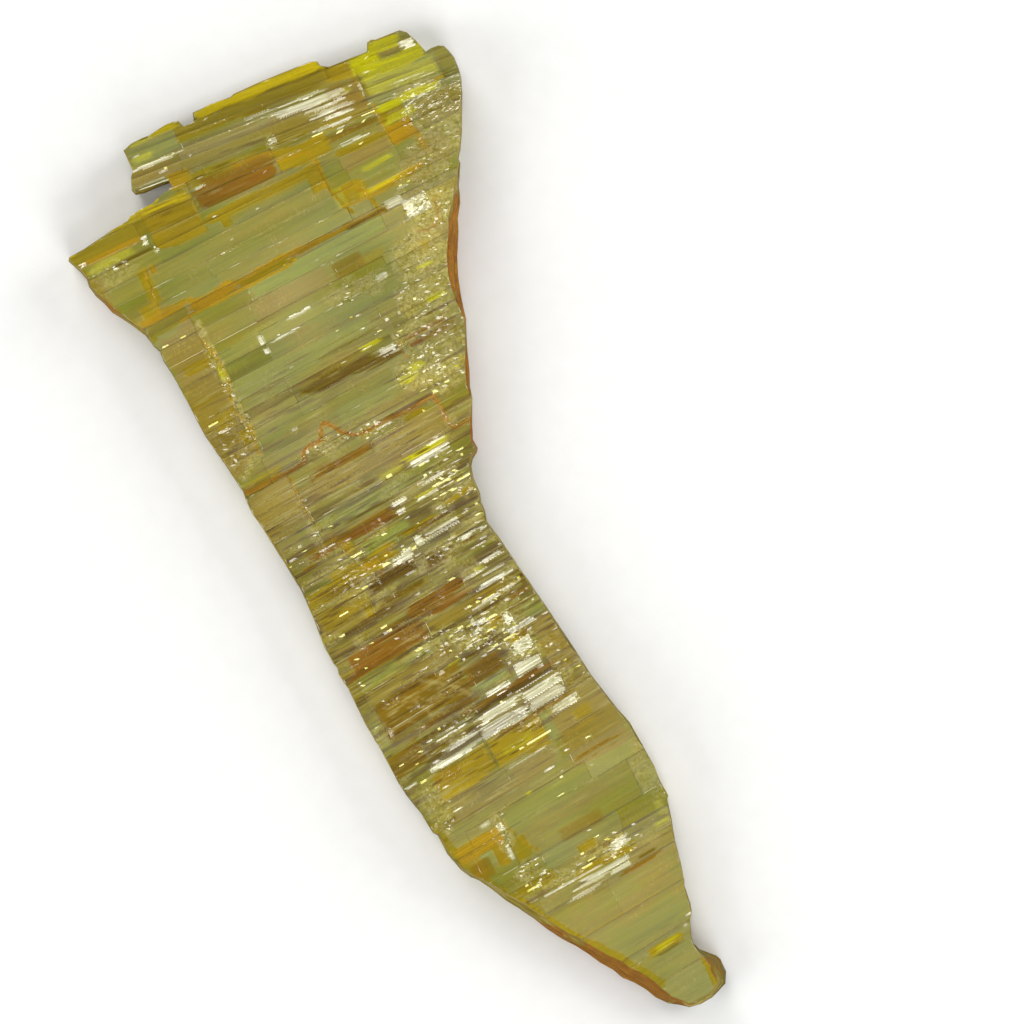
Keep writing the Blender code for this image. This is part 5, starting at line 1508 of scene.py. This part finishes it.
# %% Material: orpiment, broken across its sheets
def fracture_material():
    """The broken sides: ends of thin sheets, dull and layered, under patches of crust."""
    made, tree = new_material("orpiment, broken across its sheets")
    look = wall_patterns(tree)
    # the crust is darker towards the narrow tip, a painted shade
    along = node(tree, "SeparateXYZ", {}, {0: look["place"]}, out="X")
    tip_shade = node(tree, "MapRange", {}, {0: along, 1: 25 * MM, 2: 50 * MM, 3: 0.0, 4: 0.7})
    crust = node(tree, "Mix", {"data_type": "RGBA"},
                 {0: tip_shade, 6: look["crust colour"], 7: colour("#84580C")}, out=2)
    # it lies in ragged patches, thickest where the mask says
    mask = node(tree, "Attribute", {"attribute_name": "crust"}, out="Fac")
    cover = node(tree, "Math", {"operation": "MULTIPLY_ADD"}, {0: look["layers"], 1: 0.9, 2: mask})
    cover = node(tree, "Math", {"operation": "MULTIPLY_ADD"}, {0: look["crust"], 1: 1.4, 2: cover})
    cover = node(tree, "MapRange", {}, {0: cover, 1: 1.96, 2: 2.12, 3: 0.0, 4: 1.0})
    shade = node(tree, "Mix", {"data_type": "RGBA"},
                 {0: cover, 6: look["sheet ends"], 7: crust}, out=2)
    # where the lemon film reaches the wall its sheet ends turn lemon, partly a painted glow of light
    # through them
    lemon = node(tree, "Attribute", {"attribute_name": "lemon"}, out="Fac")
    lemon = node(tree, "Math", {"operation": "MULTIPLY"}, {0: lemon, 1: look["sheet"]})
    shade = node(tree, "Mix", {"data_type": "RGBA"}, {0: lemon, 6: shade, 7: colour("#C8BE04")}, out=2)
    # the foot of the very end is darker, grey-brown towards the floor
    end = node(tree, "MapRange", {}, {0: along, 1: 48.5 * MM, 2: 50 * MM, 3: 0.0, 4: 1.0})
    height = along.node.outputs["Z"]
    foot = node(tree, "MapRange", {}, {0: height, 1: 3.0 * MM, 2: 1.2 * MM, 3: 0.0, 4: 0.85})
    dark_foot = node(tree, "Math", {"operation": "MULTIPLY"}, {0: end, 1: foot})
    shade = node(tree, "Mix", {"data_type": "RGBA"}, {0: dark_foot, 6: shade, 7: colour("#3C3A2A")}, out=2)
    # clean sheet ends still shine here and there, the crust does not
    shiny = node(tree, "MapRange", {}, {0: look["sheet"], 1: 0.52, 2: 0.62, 3: 0.55, 4: 0.2})
    rough = node(tree, "MapRange", {}, {0: cover, 1: 0.0, 2: 1.0, 3: shiny, 4: 0.8})
    relief = node(tree, "Math", {"operation": "MULTIPLY_ADD"},
                  {0: cover, 1: look["grain"], 2: look["layers"]})
    bump = node(tree, "Bump", {}, {"Strength": 0.8, "Distance": 0.08 * MM, "Height": relief})
    shader = node(tree, "BsdfPrincipled", {}, {"IOR": 1.5, "Specular IOR Level": 0.35, "Roughness": rough,
                                               "Base Color": shade, "Normal": bump})
    node(tree, "OutputMaterial", {}, {"Surface": shader})
    return made


blade.data.materials.append(fracture_material())
print("fracture wall:", len(blade.data.materials[1].node_tree.nodes), "nodes")

# %% [markdown]
# ## Floor
# The stone lies on a sheet of pale card, as it would on a dealer's table.  Card is matt, so it
# shows a soft shadow and no mirror image.  The floor is stage, not part of the stone.

# %% Floor
def card_material():
    """Pale uncoated card: faint cloudy fibres and no shine."""
    made, tree = new_material("white card, uncoated")
    place = node(tree, "TexCoord", {}, {}, out="Object")
    fibre = node(tree, "TexNoise", {}, {"Vector": place, "Scale": 500.0, "Detail": 5.0})
    shade = node(tree, "Mix", {"data_type": "RGBA"},
                 {0: fibre, 6: colour("#EFEFEC"), 7: colour("#F5F5F4")}, out=2)
    shader = node(tree, "BsdfPrincipled", {}, {"IOR": 1.5, "Roughness": 0.9, "Base Color": shade})
    node(tree, "OutputMaterial", {}, {"Surface": shader})
    return made


def make_floor(width):
    """A square of card, width metres wide."""
    bm = bmesh.new()
    bmesh.ops.create_grid(bm, x_segments=1, y_segments=1, size=0.5 * width)
    mesh = bpy.data.meshes.new("pale_floor")
    bm.to_mesh(mesh)
    bm.free()
    floor = bpy.data.objects.new("pale_floor", mesh)
    bpy.context.scene.collection.objects.link(floor)
    mesh.materials.append(card_material())


make_floor(5.0)

# %% [markdown]
# ## Lights
# The lamps behave like soft boxes in a studio.  A mirror-like face shows the lamp that it
# looks at, so they are placed by the lean of the facets: a facet that leans by 12 degrees
# mirrors what stands 24 degrees from straight above.  Level facets mirror the big box
# overhead, which fades from its middle to its rim in five nested squares.  Leaning ones
# mirror the strips at the left and right, bright, middle and dim, and flash.  Four wide boxes
# low around the blade light its sides and the floor.

# %% Lights
def soft_box(name, place, width, length, radiance):
    """An area lamp that faces the blade, width along its own Y and length along its own X."""
    data = bpy.data.lights.new(name, "AREA")
    data.shape = "RECTANGLE"
    data.size, data.size_y = length, width
    data.energy = radiance * np.pi * width * length
    lamp = bpy.data.objects.new(name, data)
    lamp.location = place
    lamp.rotation_euler = (-Vector(place)).to_track_quat("-Z", "Y").to_euler()
    bpy.context.scene.collection.objects.link(lamp)


# the box overhead is brighter towards its middle, as a lamp behind cloth is: (width, radiance)
NESTED = ((1.07, 0.10), (0.85, 0.14), (0.63, 0.18), (0.42, 0.16), (0.21, 0.17))
for step, (width, radiance) in enumerate(NESTED):
    soft_box(f"overhead {step + 1}", (0.0, 0.0, 2.0 - 0.005 * step), width, width, radiance)
for name, side in (("left", -1), ("right", 1)):
    soft_box("bright strip " + name, (0.813 * side, 0.0, 1.827), 0.16, 0.75, 7.0)
    soft_box("middle strip " + name, (0.939 * side, 0.0, 1.766), 0.12, 0.75, 3.5)
    soft_box("dim strip " + name, (1.078 * side, 0.0, 1.685), 0.24, 0.75, 1.5)
    soft_box("end lamp " + name, (0.0, 0.813 * side, 1.827), 0.14, 0.40, 3.5)
for name, x, y in (("a", 1.4, 0.0), ("b", -1.4, 0.0), ("c", 0.0, 1.4), ("d", 0.0, -1.4)):
    soft_box("wide " + name, (x, y, 0.95), 1.0, 1.0, 4.0)
world = bpy.data.worlds.new("studio")
world.use_nodes = True
world.node_tree.nodes["Background"].inputs[0].default_value = (0.9, 0.95, 1.0, 1.0)
world.node_tree.nodes["Background"].inputs[1].default_value = 0.02
bpy.context.scene.world = world
bpy.context.scene.view_settings.view_transform = "Standard"

# %% [markdown]
# ## Camera
# A flat stone is best seen from straight above.  A long lens from nearly a metre away keeps
# it almost free of perspective, and a turn of 64 degrees stands it on its narrow end.

# %% Camera, straight above
AIM = (4.19, 10.42)        # the place under the camera, mm
HEIGHT, TURN = 0.8593, 64  # metres above the floor, and degrees
camera_data = bpy.data.cameras.new("camera")
camera_data.lens = 300.0
camera_data.sensor_width = 36.0
camera_data.clip_start, camera_data.clip_end = 0.01, 20.0
camera = bpy.data.objects.new("camera", camera_data)
camera.location = ((AIM[0] - CENTRE[0]) * MM, (AIM[1] - CENTRE[1]) * MM, HEIGHT)
camera.rotation_euler = (0.0, 0.0, np.radians(TURN))
bpy.context.scene.collection.objects.link(camera)
bpy.context.scene.camera = camera
print("camera", HEIGHT, "m above the floor with a lens of", camera_data.lens, "mm")
